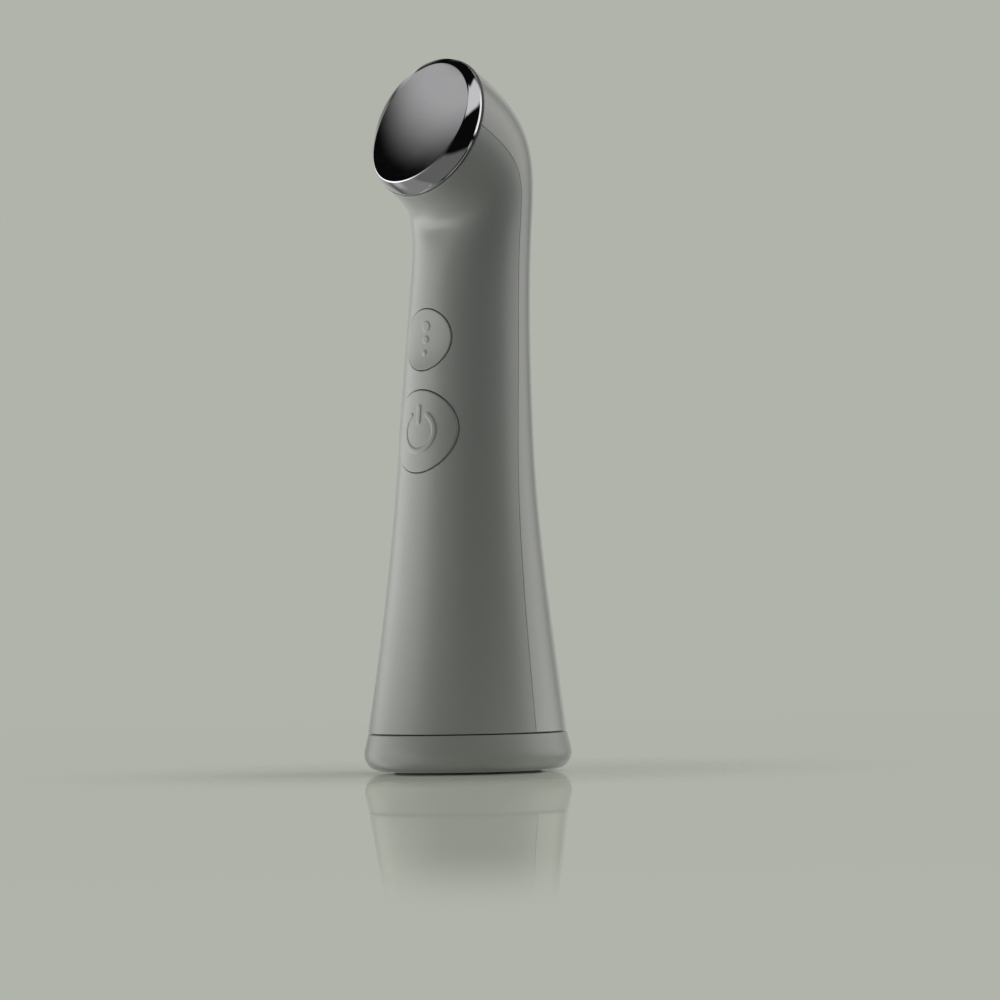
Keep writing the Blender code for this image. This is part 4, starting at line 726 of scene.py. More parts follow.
@dataclass(frozen=True)
class Finish:
    """One finish: its colour, its gloss and how both vary.

    Each texture's method gives the shader's inputs by name, with the relief as "Height".
    """

    name: str
    colour: tuple[float, float, float]
    roughness: float
    texture: Texture = Texture.MOULDED
    metallic: float = 0.0
    coat: float = 0.0
    grain: float = 2500.0
    mottle: float = 0.06
    relief: float = 0.02
    second: tuple[float, float, float] = (0.5, 0.5, 0.5)

    def material(self) -> bpy.types.Material:
        """Build the finish as a procedural material on Object coordinates.

        Returns:
            The material.
        """
        material = bpy.data.materials.new(self.name)
        material.use_nodes = True
        tree = Tree(material.node_tree)
        shader = material.node_tree.nodes["Principled BSDF"]
        tree.feed(shader, {"Base Color": (*self.colour, 1.0), "Roughness": self.roughness,
                           "Metallic": self.metallic, "Coat Weight": self.coat,
                           "Coat Roughness": COAT_ROUGHNESS})
        paint = {Texture.LACQUER: self.lacquer, Texture.POLISHED: self.polished,
                 Texture.MOULDED: self.moulded, Texture.METAL: self.metal,
                 Texture.SLEEVE: self.sleeve, Texture.BOARD: self.board}[self.texture]
        inputs = paint(tree, tree.add("ShaderNodeTexCoord").outputs["Object"])
        bump = tree.add("ShaderNodeBump", {"Height": inputs.pop("Height"), "Strength": 1.0,
                                           "Distance": self.relief * MM})
        tree.feed(shader, inputs | {"Normal": bump.outputs[0]})
        return material

    def grained(self, tree: Tree, place: Socket, spread: float, colour: object = None,
                mottle: float | None = None) -> dict:
        """Moulding grain over the finish's own colour and mottle, or over others.

        Args:
            tree: the material's tree.
            place: coordinates of the grain.
            spread: how far the roughness varies.
            colour: a colour or its socket, if not the finish's own.
            mottle: how far the shade varies, if not the finish's own.

        Returns:
            The shader's inputs.
        """
        grain = tree.group(
            "moulding_grain", Vector=place, Colour=(*self.colour, 1.0) if colour is None else colour,
            Scale=self.grain, Mottle=self.mottle if mottle is None else mottle,
            Roughness=self.roughness, Spread=spread)
        return {"Base Color": grain["Colour"], "Roughness": grain["Roughness"],
                "Height": grain["Height"]}

    def marked(self, tree: Tree, place: Socket, inputs: dict, scale: float, smudge: float,
               hairlines: float) -> dict:
        """Lay handling marks over the gloss that a shader's inputs give.

        Args:
            tree: the material's tree.
            place: coordinates of the pattern.
            inputs: the shader's inputs so far.
            scale: scale of the marks.
            smudge: roughness that a smudge adds.
            hairlines: roughness that a hairline adds.

        Returns:
            The shader's inputs by name, with the relief as Height.
        """
        marks = tree.group("handling_marks", Vector=place, Scale=scale,
                           Roughness=inputs["Roughness"], Smudge=smudge, Hairlines=hairlines)
        return inputs | {"Roughness": marks["Roughness"]}

    def moulded(self, tree: Tree, place: Socket) -> dict:
        """Moulded plastic, rubber or ceramic: fine relief and a slight mottle."""
        return self.grained(tree, place, 0.12)

    def lacquer(self, tree: Tree, place: Socket) -> dict:
        """Pearl lacquer: flakes under a coat with a faint orange peel and soft handling marks.

        Args:
            tree: the material's tree.
            place: coordinates of the pattern.

        Returns:
            The shader's inputs by name, with the relief as Height.
        """
        flakes = tree.group("pearl_flakes", Vector=place, Colour=(*self.colour, 1.0), Scale=7000.0,
                            Sparkle=self.mottle)
        inputs = self.grained(tree, place, 0.04, flakes["Colour"], self.mottle / 2)
        return self.marked(tree, place, inputs, 70.0, 0.05, 0.03)

    def polished(self, tree: Tree, place: Socket) -> dict:
        """Mirror plating: smudges and hairlines in the gloss, a slow ripple in the relief.

        Args:
            tree: the material's tree.
            place: coordinates of the pattern.

        Returns:
            The shader's inputs by name, with the relief as Height.
        """
        tint = tree.mix(tree.noise(place, 160.0, 2.0), (*self.colour, 1.0), (*self.second, 1.0))
        inputs = {"Base Color": tint, "Roughness": self.roughness,
                  "Height": tree.noise(place, self.grain, 1.0)}
        return self.marked(tree, place, inputs, 110.0, 0.05, 0.08)

    def metal(self, tree: Tree, place: Socket) -> dict:
        """Plain or plated metal: short brushed lines with stains in the gloss."""
        drawn = tree.mapped(place, (0.0, 0.0, 0.0), (1.0, 1.0, 0.08))
        return self.marked(tree, place, self.grained(tree, drawn, 0.2), 300.0, 0.1, 0.1)

    def sleeve(self, tree: Tree, place: Socket) -> dict:
        """A cell's shrunk sleeve: dark, coloured from a mask of a half up, bare metal at one.

        Args:
            tree: the material's tree.
            place: coordinates of the pattern.

        Returns:
            The shader's inputs by name, with the relief as Height.
        """
        mask = tree.add("ShaderNodeAttribute", attribute_name="mask").outputs["Fac"]
        bare = tree.span(mask, 0.7, 0.8)
        wrap = tree.mix(tree.span(mask, 0.2, 0.3), (*self.colour, 1.0), (*self.second, 1.0))
        shade = tree.mix(bare, wrap, CELL_METAL)
        return self.grained(tree, place, 0.1, shade) | {"Metallic": bare}

    def board(self, tree: Tree, place: Socket) -> dict:
        """Circuit board: tracks under solder mask, and tinned pads.

        Args:
            tree: the material's tree.
            place: coordinates of the pattern.

        Returns:
            The shader's inputs by name, with the relief as Height.
        """
        flat = tree.mapped(place, (0.0, 0.0, 0.0), (1.0, 0.0, 1.0))
        tracks = tree.add("ShaderNodeTexBrick", {
            "Vector": tree.mapped(flat, (math.pi / 2, 0.0, 0.0), (1.0, 1.0, 1.0)),
            "Scale": 260.0, "Mortar Size": 0.03, "Brick Width": 0.9, "Row Height": 0.28})
        cells = tree.add("ShaderNodeTexVoronoi", {"Vector": flat, "Scale": 420.0}).outputs["Distance"]
        pad = tree.span(cells, 0.16, 0.13)
        track = tree.math("MULTIPLY", tracks.outputs["Fac"], 0.8)
        mask = tree.mix(track, (*self.colour, 1.0), (*self.second, 1.0))
        shade = tree.mix(pad, mask, TINNED)
        return self.grained(tree, place, 0.1, shade) | {"Metallic": pad, "Height": track}


FINISHES = {
    "pearl_front": Finish("pearl_lacquer", (0.58, 0.605, 0.568), 0.36, Texture.LACQUER, coat=0.25,
                          mottle=0.05, relief=0.002),
    # The rear half's colour is painted lighter than the front's lacquer, a painted highlight for the
    # light that falls on that side; its glossier coat is its own.
    "pearl_rear": Finish("painted_light_gloss_lacquer", (0.69, 0.71, 0.665), 0.2, Texture.LACQUER, coat=0.5,
                         mottle=0.04, relief=0.0015),
    "chrome": Finish("polished_chrome", (0.83, 0.83, 0.85), 0.025, Texture.POLISHED, metallic=1.0,
                     grain=400.0, relief=0.0006, second=(0.76, 0.76, 0.79)),
    "black_rubber": Finish("black_rubber", (0.050, 0.051, 0.050), 0.72, grain=3500.0, mottle=0.3,
                           relief=0.03),
    "black_plastic": Finish("black_plastic", (0.036, 0.037, 0.040), 0.5, mottle=0.2, relief=0.02),
    "grey_plastic": Finish("grey_plastic", (0.24, 0.25, 0.26), 0.5, relief=0.02),
    "nickel": Finish("nickel_plate", (0.66, 0.63, 0.57), 0.22, Texture.METAL, metallic=1.0,
                     grain=3000.0, relief=0.003),
    "steel": Finish("plain_steel", (0.56, 0.56, 0.57), 0.3, Texture.METAL, metallic=1.0,
                    grain=3000.0, relief=0.004),
    "cell_sleeve": Finish("cell_sleeve", (0.035, 0.16, 0.27), 0.3, Texture.SLEEVE, grain=900.0,
                          relief=0.004, second=(0.66, 0.34, 0.10)),
    "board_green": Finish("board_green", (0.012, 0.13, 0.05), 0.35, Texture.BOARD, grain=1500.0,
                          relief=0.03, second=(0.05, 0.24, 0.10)),
    "chip_black": Finish("moulded_epoxy", (0.022, 0.022, 0.023), 0.55, mottle=0.3, relief=0.015),
    "switch_stem": Finish("brown_stem", (0.26, 0.14, 0.06), 0.45, mottle=0.12, relief=0.01),
    "weight_metal": Finish("sintered_metal", (0.28, 0.28, 0.30), 0.5, metallic=0.9, mottle=0.3,
                           relief=0.03),
    "ferrite": Finish("sintered_ferrite", (0.09, 0.09, 0.10), 0.6, mottle=0.35, relief=0.03),
    "heater_ceramic": Finish("fired_ceramic", (0.74, 0.72, 0.66), 0.6, mottle=0.08, relief=0.015),
    "thermal_pad": Finish("filled_silicone", (0.40, 0.45, 0.52), 0.85, mottle=0.2, relief=0.03),
    "bead_amber": Finish("amber_resin", (0.40, 0.16, 0.03), 0.2, coat=0.6, relief=0.004),
    "red_lead": Finish("red_insulation", (0.52, 0.028, 0.02), 0.45, mottle=0.1, relief=0.008),
    "black_lead": Finish("black_insulation", (0.022, 0.022, 0.022), 0.45, mottle=0.2, relief=0.008),
}


def make_materials() -> None:
    """Build the shared node groups and then every finish."""
    moulding_grain()
    pearl_flakes()
    handling_marks()
    for slot, finish in FINISHES.items():
        MATERIALS[slot] = finish.material()


def dress(piece: bpy.types.Object, slot: str, body: str, *nodes: str) -> bpy.types.Object:
    """Give a new piece its finish and its body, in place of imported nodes.

    Args:
        piece: the new piece.
        slot: material slot of the record that it takes its finish from.
        body: body that it moves with.
        nodes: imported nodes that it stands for.

    Returns:
        The piece.
    """
    piece.data.materials.clear()
    piece.data.materials.append(MATERIALS[slot])
    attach(piece, body)
    if nodes:
        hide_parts(*nodes)
    return piece


# Shell halves

class Side(Enum):
    """Which half of the shell."""

    FRONT = "front"
    REAR = "rear"


@dataclass(frozen=True)
class ButtonHole:
    """A round hole in the front half, cut straight back."""

    height: float
    radius: float
    low: float
    high: float


@dataclass
class ShellHalf:
    """One half of the moulded shell: a fine outer skin, a rounded rim all round and an inner skin."""

    side: Side
    holes: tuple[ButtonHole, ...] = ()
    wall: float = SHELL_WALL
    parting_gap: float = 0.07 * MM
    rim: float = 0.1 * MM
    hole_rim: float = 0.15 * MM
    cell: float = 0.75 * MM
    hole_share: float = 0.62
    edge_share: float = 0.012
    columns: int = 84
    plain_rows: int = 200
    rim_steps: int = 5
    annulus_rows: int = 9

    def half_range(self, place: Array, inset: float) -> Array:
        """Angle from the half's middle to its edge, less an inset along the surface.

        Args:
            place: places along the body.
            inset: how far inside the edge.

        Returns:
            One angle for each place.
        """
        parting = FORM.parting.at(place)
        reach = parting if self.side is Side.FRONT else math.pi - parting
        return reach - (self.parting_gap / 2 + inset) / FORM.half_width.at(place)

    def angle(self, share: Array, place: Array, inset: float) -> Array:
        """Angle round the body at a share of the half range on either side of the middle."""
        start = 0.0 if self.side is Side.FRONT else math.pi
        return start + share * self.half_range(place, inset)

    def rows(self) -> Array:
        """Places of the rows: even between the levels of the holes, with a close row at each end.

        Returns:
            Places along the body, from the lower rim to the head's.
        """
        rims = [self.rim / FORM.speed(place) for place in (0.0, FORM.stations - 10 * SMALL_STEP)]
        ends = [rims[0], FORM.stations - rims[1]]
        inner = [ends[0] + 2 * rims[0], ends[1] - 2 * rims[1]]
        levels = sorted({level for hole in self.holes for level in (hole.low, hole.high)})
        marks = [inner[0]] + [float(FORM.place_at(level)) for level in levels] + [inner[1]]
        places = [np.array([ends[0]])]
        for start, end in zip(marks, marks[1:]):
            length = (end - start) * FORM.speed((start + end) / 2)
            count = max(2, round(length / self.cell)) if self.holes else self.plain_rows
            places.append(np.linspace(start, end, count + 1)[:-1])
        places.append(np.array([inner[1], ends[1]]))
        return np.concatenate(places)

    def shares(self) -> Array:
        """Shares of the columns, with a close column along each edge.

        Returns:
            Shares from -1 to 1, evenly spaced across a hole's block and beside it.
        """
        even = np.linspace(-1, 1, self.columns + 1)[1:-1]
        if self.holes:
            share = self.hole_share
            inside = np.linspace(-share, share, round(self.columns * share) + 1)
            outside = np.linspace(share, 1, round(self.columns * (1 - share) / 2) + 1)[1:-1]
            even = np.concatenate((-outside[::-1], inside, outside))
        return np.concatenate(([-1, self.edge_share - 1], even, [1 - self.edge_share, 1]))

    def strips(self, skin: Skin, loops: tuple[Array, Array, Array, Array]) -> None:
        """Add the rounded rim and the wall along one edge of the skin.

        Args:
            skin: the skin that they join.
            loops: closed rows of points: the outer skin's edge, the sharp corner that the rim
                rounds off, the start of the flat wall, and its inner end with the inner skin's edge.
        """
        outer, corner, start, ends = loops
        skin.add(bezier(outer, corner, start, self.rim_steps))
        skin.add(np.stack((start, ends[0])))
        skin.add(np.stack((ends[0], ends[1])))

    def hole_loops(self, skin: Skin, hole: ButtonHole, place: Array, angle: Array) -> None:
        """Fill the block round a hole with rings that run from its square edge to the circle.

        Args:
            skin: the skin that the rings join.
            hole: the hole.
            place: places of the block's edge, once round.
            angle: angles of the block's edge, once round.
        """
        edge = FORM.under(place, angle, 0.0)
        turn = np.arctan2(edge[:, 2] - hole.height, edge[:, 0])

        def circle(radius: float, depth: float) -> tuple[Array, Array]:
            """Places and angles of a circle of the hole at a depth."""
            return FORM.locate(radius * np.cos(turn), hole.height + radius * np.sin(turn), depth)

        share = np.linspace(0, 1, self.annulus_rows + 1)[:, None]
        rings = []
        for depth in (0.0, self.wall):
            near_place, near_angle = circle(hole.radius + self.hole_rim, depth)
            grid = FORM.under((1 - share) * place + share * near_place,
                              (1 - share) * angle + share * near_angle, depth)
            skin.add(grid)
            rings.append(grid[-1])
        corner, start, inner = (FORM.under(*circle(hole.radius, depth), depth)
                                for depth in (0.0, self.hole_rim, self.wall))
        self.strips(skin, (rings[0], corner, start, (inner, rings[1])))

    def skin(self, name: str) -> Skin:
        """Work out the whole half as one closed skin.

        Args:
            name: name of the piece.

        Returns:
            The skin, ready to build.
        """
        place, share = self.rows(), self.shares()
        places = np.broadcast_to(place[:, None], (len(place), len(share)))
        angles = self.angle(share[None, :], places, self.rim)
        keep = np.ones((len(place) - 1, len(share) - 1), dtype=bool)
        skin = Skin(name)
        for hole in self.holes:
            first, last = (int(np.argmin(abs(place - FORM.place_at(level))))
                           for level in (hole.low, hole.high))
            left, right = (int(np.argmin(abs(share - side * self.hole_share))) for side in (-1, 1))
            keep[first:last, left:right] = False
            row = np.concatenate((np.full(right - left, first), np.arange(first, last),
                                  np.full(right - left, last), np.arange(last, first, -1)))
            column = np.concatenate((np.arange(left, right), np.full(last - first, right),
                                     np.arange(right, left, -1), np.full(last - first, left)))
            self.hole_loops(skin, hole, places[row, column], angles[row, column])
        edge_place = places.copy()
        edge_place[0] = 0
        edge_place[-1] = FORM.stations
        edge_angle = self.angle(share[None, :], edge_place, 0.0)
        rows, columns = len(place) - 1, len(share) - 1
        row = np.concatenate((np.zeros(columns, int), np.arange(rows), np.full(columns, rows),
                              np.arange(rows, 0, -1)))
        column = np.concatenate((np.arange(columns), np.full(rows, columns),
                                 np.arange(columns, 0, -1), np.zeros(rows, int)))
        outer, inner = (FORM.under(places, angles, depth) for depth in (0.0, self.wall))
        skin.add(outer, closed=False, keep=keep)
        skin.add(inner, closed=False, keep=keep)
        corner, start, end = (FORM.under(edge_place[row, column], edge_angle[row, column], depth)
                              for depth in (0.0, self.rim, self.wall))
        self.strips(skin, (outer[row, column], corner, start, (end, inner[row, column])))
        return skin


@dataclass
class Shell:
    """The two halves of the shell, with the front half's screw bosses and the rear half's tabs."""

    power_hole: float = POWER_RADIUS + BUTTON_GAP
    mode_hole: float = MODE_RADIUS + BUTTON_GAP
    boss_radius: float = 2.25 * MM
    bore_radius: float = 1.1 * MM
    bore_depth: float = 3.7 * MM
    boss_edge: float = 0.15 * MM
    tab_thickness: float = 1.2 * MM
    tab_reach: float = 3.0 * MM
    tab_root: float = 5.5 * MM
    tab_inset: float = 0.7 * MM
    tab_length: float = 8.0 * MM
    tab_rounding: float = 0.4 * MM
    tab_shares: tuple[float, ...] = (0.2, 0.6)

    def holes(self) -> tuple[ButtonHole, ...]:
        """Both button holes, whose blocks meet halfway between them.

        Returns:
            The power button's hole and the mode button's.
        """
        web = (MODE_HEIGHT - self.mode_hole) - (POWER_HEIGHT + self.power_hole)
        meeting = POWER_HEIGHT + self.power_hole + web / 2
        return (ButtonHole(POWER_HEIGHT, self.power_hole, 2 * POWER_HEIGHT - meeting, meeting),
                ButtonHole(MODE_HEIGHT, self.mode_hole, meeting, 2 * MODE_HEIGHT - meeting))

    def boss(self, skin: Skin, screw: str) -> None:
        """Add a screw boss: a tube from the board to the middle of the shell's wall.

        Args:
            skin: the skin that it joins.
            screw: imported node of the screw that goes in.
        """
        place = middle(screw)
        foot = low("main_board").y - SEAT_GAP
        turn = once_round(48)

        def ring(radius: float, along: float | None) -> Array:
            """Circle of the boss at a place along Y, or on the middle of the wall.

            Args:
                radius: radius of the circle.
                along: place along Y, or none.

            Returns:
                The circle's points.
            """
            across, height = place.x + radius * np.cos(turn), place.z + radius * np.sin(turn)
            if along is None:
                return FORM.under(*FORM.locate(across, height, SHELL_WALL / 2), SHELL_WALL / 2)
            return stack(across, along, height)

        edge = self.boss_edge
        skin.add(np.stack([
            ring(0.0, foot - self.bore_depth), ring(self.bore_radius, foot - self.bore_depth),
            ring(self.bore_radius, foot - edge), ring(self.bore_radius + edge, foot),
            ring(self.boss_radius - edge, foot), ring(self.boss_radius, foot - edge),
            ring(self.boss_radius, None), ring(self.boss_radius / 2, None), ring(0.0, None)]))

    def tab(self, skin: Skin, share: float, side: int) -> None:
        """Add a locating tab that reaches past the parting line inside the front half.

        Args:
            skin: the skin that it joins.
            share: its height, as a share of the shell's.
            side: -1 for the left or 1 for the right.
        """
        height = FORM.bottom + (FORM.top - FORM.bottom) * share
        place = FORM.place_at(height)
        parting = FORM.surface(place, FORM.parting.at(place))
        inner = FORM.half_depth.at(FORM.place_at(height + self.tab_length / 2)) - SHELL_WALL
        across = side * (inner - self.tab_inset - self.tab_thickness / 2)
        along = parting[1] + (self.tab_root - self.tab_reach) / 2
        size = (self.tab_thickness, self.tab_root + self.tab_reach, self.tab_length)
        skin.add(rounded_block(size, self.tab_rounding, 4) + np.array((across, along, height)))

    def build(self) -> None:
        """Make and dress both halves."""
        front = ShellHalf(Side.FRONT, self.holes()).skin("front_half")
        for screw in ("board_screw_left", "board_screw_right", "board_screw_top"):
            self.boss(front, screw)
        dress(front.build(), "pearl_front", "wand", "front_shell")
        rear = ShellHalf(Side.REAR).skin("rear_half")
        for share in self.tab_shares:
            self.tab(rear, share, -1)
            self.tab(rear, share, 1)
        dress(rear.build(), "pearl_rear", "wand", "rear_shell")


# Buttons

class Mark(Enum):
    """What stands on a button's face."""

    POWER = "power"
    DOTS = "dots"


@dataclass
class Button:
    """A round button that follows the body, with a raised mark, a skirt and a post."""

    mark: Mark
    height: float
    radius: float
    body: str
    proud: float = 0.25 * MM
    thickness: float = 3.0 * MM
    edge: float = 0.22 * MM
    dish: float = 0.0
    post_radius: float = 1.6 * MM
    mark_height: float = 0.18 * MM
    mark_soft: float = 0.45 * MM
    ring_radius: float = 4.1 * MM
    stroke: float = 0.5 * MM
    opening: float = math.radians(70)
    bar_shares: tuple[float, float] = (0.5, 1.22)
    dot_radii: tuple[float, ...] = (0.5 * MM, 0.75 * MM, 1.05 * MM)
    dot_spacing: float = 2.75 * MM
    mark_reach: float = 5.3 * MM
    mark_rings: int = 62
    ring_spacing: float = 0.2 * MM
    soft: float = 0.2 * MM
    lug_reach: float = 1.0 * MM
    lug_width: float = 5.0 * MM
    lug_thickness: float = 1.0 * MM
    turns: int = 240

    def power_distance(self, across: Array, up: Array) -> Array:
        """Distance to the line of an open ring with a bar in its opening.

        Args:
            across: places along X.
            up: heights over the button's middle.

        Returns:
            Distances, below zero inside the line.
        """
        radius = np.hypot(across, up)
        turn = np.abs(np.arctan2(across, up))
        tip = np.array((math.sin(self.opening / 2), math.cos(self.opening / 2))) * self.ring_radius
        ends = np.hypot(np.abs(across) - tip[0], up - tip[1])
        ring = np.where(turn > self.opening / 2, np.abs(radius - self.ring_radius), ends)
        first, last = (self.ring_radius * share for share in self.bar_shares)
        bar = np.hypot(across, up - np.clip(up, first, last))
        return np.minimum(ring, bar) - self.stroke

    def dot_distance(self, across: Array, up: Array) -> Array:
        """Distance to the rim of the nearest of three dots that grow upward.

        Args:
            across: places along X.
            up: heights over the button's middle.

        Returns:
            Distances, below zero inside a dot.
        """
        dots = [np.hypot(across, up - (step - 1) * self.dot_spacing) - radius
                for step, radius in enumerate(self.dot_radii)]
        return np.minimum.reduce(dots)

    def face(self, across: Array, up: Array) -> Array:
        """Place along Y of the face: the body, raised, dished and with its mark on it.

        Args:
            across: places along X.
            up: heights over the button's middle.

        Returns:
            Places along Y.
        """
        distance = (self.power_distance if self.mark is Mark.POWER else self.dot_distance)(across, up)
        rise = np.clip(0.5 - distance / self.mark_soft, 0, 1)
        rise = rise * rise * (3 - 2 * rise)
        share = np.minimum(np.hypot(across, up) / (self.radius - self.edge), 1)
        hollow = self.dish * (1 - share ** 2)
        return FORM.front(across, self.height + up, self.proud) + hollow - self.mark_height * rise

    def back(self, across: Array, up: Array) -> Array:
        """Place along Y of the back, parallel to the face."""
        return FORM.front(across, self.height + up, self.proud - self.thickness)

    def build(self, name: str, node: str) -> None:
        """Make and dress the button: rings from the face's middle, over the edge, to the post.

        Args:
            name: name of the piece.
            node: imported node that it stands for.
        """
        turn = once_round(self.turns)
        marked = np.linspace(0, self.mark_reach, self.mark_rings)
        plain_rings = max(4, round((self.radius - self.mark_reach) / self.ring_spacing))
        plain = np.linspace(self.mark_reach, self.radius - self.edge, plain_rings)
        radii = np.concatenate((marked, plain[1:]))[:, None]

        def ring(radius: Array, place: Callable | float, shift: float = 0.0) -> Array:
            """Rings of the button at a radius and a place along Y.

            Args:
                radius: radius of each ring.
                place: place along Y, or a function that gives it.
                shift: how far back of that place.

            Returns:
                The rings' points.
            """
            across, up = radius * np.sin(turn), radius * np.cos(turn)
            along = place(across, up) + shift if callable(place) else place + 0 * across
            return stack(across, along, self.height + up)

        face = ring(radii, self.face)
        corner, start = ring(self.radius, self.face), ring(self.radius, self.face, self.edge)
        skin = Skin(name)
        skin.add(face)
        skin.add(bezier(face[-1], corner, start, 7))
        post_end, soft = STEM_FRONT - SEAT_GAP, self.soft
        rest = [start, ring(self.radius, self.back, -soft), ring(self.radius - soft, self.back)]
        rest += [ring(radius, self.back)
                 for radius in np.linspace(self.radius - soft, self.post_radius + soft, 12)[1:]]
        rest += [ring(self.post_radius, self.back, soft), ring(self.post_radius, post_end - soft),
                 ring(self.post_radius - soft, post_end), ring(0.0, post_end)]
        skin.add(np.stack(rest))
        for side in (-1, 1):
            self.lug(skin, side)
        dress(skin.build(), "pearl_front", self.body, node)

    def lug(self, skin: Skin, side: int) -> None:
        """Add a retaining lug that stays behind the shell's wall.

        Args:
            skin: the skin that it joins.
            side: -1 for below or 1 for above.
        """
        root = self.height + side * self.radius
        faces = FORM.front(np.array(0.0), np.array((root + side * self.lug_reach, root)))
        along = float(np.max(faces)) + SHELL_WALL + SEAT_GAP + self.lug_thickness / 2
        size = (self.lug_width, self.lug_thickness, 2 * self.lug_reach)
        skin.add(rounded_block(size, self.soft, 4) + np.array((0, along, root)))


# Base cap

@dataclass
class BaseCap:
    """Base cap with its foot pad, seal ring, contact holder, bridge contact and spring."""

    lower_edge: float = FORM.lower_edge_radius
    bulge: float = 0.9 * MM
    corner: float = 3.6 * MM
    stand: float = 0.4 * MM
    seam_gap: float = 0.3 * MM
    floor: float = 2.0 * MM
    collar_wall: float = 3.2 * MM
    section: float = 0.8 * MM
    groove_spacing: float = 1.6 * MM
    groove_count: int = 6
    fine: float = 0.1 * MM
    soft: float = 0.2 * MM
    rim_soft: float = 0.4 * MM
    lip: float = 0.9 * MM
    plate: float = 0.4 * MM
    stud_radius: float = 1.9 * MM

    def cap(self) -> None:
        """Make the cap: a flared wall, a collar with the seal's groove, and a recess below."""
        pad, seal, top = high("foot_pad"), high("cap_seal"), high("base_cap").z
        collar = high("contact_holder").x + SEAT_GAP + self.collar_wall
        cavity, ceiling = collar - self.collar_wall, pad.z + SEAT_GAP
        groove = seal.x - 2 * self.section - SEAT_GAP
        groove_top, groove_bottom = seal.z + SEAT_GAP, low("cap_seal").z - SEAT_GAP
        shoulder = FORM.bottom - self.seam_gap
        bend = (self.lower_edge + self.bulge - self.corner, self.stand + self.corner)
        apart = math.hypot(self.lower_edge - bend[0], shoulder - bend[1])
        lean = math.degrees(math.atan2(shoulder - bend[1], self.lower_edge - bend[0])
                            - math.acos(self.corner / apart))
        corners = [(0, ceiling + self.floor, 0), (cavity, ceiling + self.floor, 2 * self.rim_soft),
                   (cavity, top, self.rim_soft), (collar, top, self.rim_soft),
                   (collar, groove_top, 1.5 * self.fine), (groove, groove_top, self.fine),
                   (groove, groove_bottom, self.fine), (collar, groove_bottom, 1.5 * self.fine),
                   (collar, shoulder, self.soft), (self.lower_edge, shoulder, 1.1 * self.soft)]
        corners += arc_points(bend, self.corner, lean, -90, 20)
        corners += [(pad.x + SEAT_GAP, self.stand, self.soft),
                    (pad.x + SEAT_GAP, ceiling, self.soft), (0, ceiling, 0)]
        skin = Skin("cap_shell").add(turned(rounded_profile(corners)))
        dress(skin.build(), "pearl_front", "base", "base_cap")

    def foot(self) -> None:
        """Make the foot pad, with ring grooves in its underside."""
        size = high("foot_pad")
        corners = [(0, size.z, 0), (size.x, size.z, self.soft), (size.x, 0, 1.25 * self.soft)]
        half, depth = self.groove_spacing / 5, self.groove_spacing / 6
        for step in range(self.groove_count):
            radius = size.x - (step + 1) * self.groove_spacing
            corners += [(radius + aside, up, self.fine / 2) for aside, up in
                        ((half, 0), (half / 2, depth), (-half / 2, depth), (-half, 0))]
        skin = Skin("foot_rubber").add(turned(rounded_profile(corners + [(0, 0, 0)], 3)))
        dress(skin.build(), "black_rubber", "base", "foot_pad")

    def seal(self) -> None:
        """Make the seal: a ring of round section with two mould lines, exp(-(sin t / width)^2)."""
        size = high("cap_seal")
        height = middle("cap_seal").z
        turn = np.linspace(0, math.tau, 33)
        line = 1 + 0.05 * np.exp(-(np.sin(turn) / 0.09) ** 2)
        section = self.section * line / np.max(line)
        profile = np.stack((size.x - self.section + section * np.cos(turn),
                            height + section * np.sin(turn)), axis=-1)
        skin = Skin("seal_ring").add(turned(profile[::-1]))
        dress(skin.build(), "black_rubber", "base", "cap_seal")

    def contacts(self) -> None:
        """Make the holder, the plate that bridges the cells with its stud, and the spring."""
        top, bottom, lip = high("contact_holder"), low("contact_holder").z, self.lip
        corners = [(0, top.z, 0), (top.x - 2 * lip, top.z, 1.5 * self.soft),
                   (top.x - lip, top.z - lip / 3, self.soft),
                   (top.x, top.z - lip / 3, 1.25 * self.soft),
                   (top.x, bottom, 1.5 * self.soft), (0, bottom, 0)]
        skin = Skin("holder_disc").add(turned(rounded_profile(corners)))
        dress(skin.build(), "black_plastic", "base", "contact_holder")

        start, end = low("bridge_contact"), high("bridge_contact")
        along, root = middle("bridge_contact").y, start.z + 0.7 * self.plate
        plate = rounded_block((end.x - start.x, end.y - start.y, self.plate), 0.45 * self.plate, 6)
        corners = [(0, end.z, 0), (self.stud_radius, end.z, 1.75 * self.soft),
                   (self.stud_radius, start.z + self.plate, self.fine),
                   (self.stud_radius + 3 * self.fine, root, 0), (0, root, 0)]
        stud = turned(rounded_profile(corners), 64)
        skin = Skin("bridge_plate").add(plate + np.array((0, along, start.z + self.plate / 2)))
        skin.add(stud + np.array((middle("battery_right").x, along, 0)))
        dress(skin.build(), "nickel", "base", "bridge_contact")
        cell_spring("lower_spring_coil", "lower_cell_spring", "base")

    def build(self) -> None:
        """Make and dress everything that stays with the cap."""
        self.cap()
        self.foot()
        self.seal()
        self.contacts()


def cell_spring(name: str, node: str, body: str) -> None:
    """Make a cell's spring: wire along (radius cos t, radius sin t, rise t), with closed ends.

    Args:
        name: name of the piece.
        node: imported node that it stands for.
        body: body that it moves with.
    """
    start, end, centre = low(node), high(node), middle(node)
    wire, turns, per_turn, closed_share = 0.25 * MM, 2.25, 40, 0.06
    radius = (end.x - start.x) / 2 - wire
    turn = np.linspace(0, turns * math.tau, round(turns * per_turn) + 1)
    share = np.clip((turn / turn[-1] - closed_share) / (1 - 2 * closed_share), 0, 1)
    path = stack(centre.x + radius * np.cos(turn), centre.y + radius * np.sin(turn),
                 start.z + wire + (end.z - start.z - 2 * wire) * share)
    skin = Skin(name).add(tube(path, wire, Vector((0, 0, 1))))
    dress(skin.build(), "nickel", body, node)


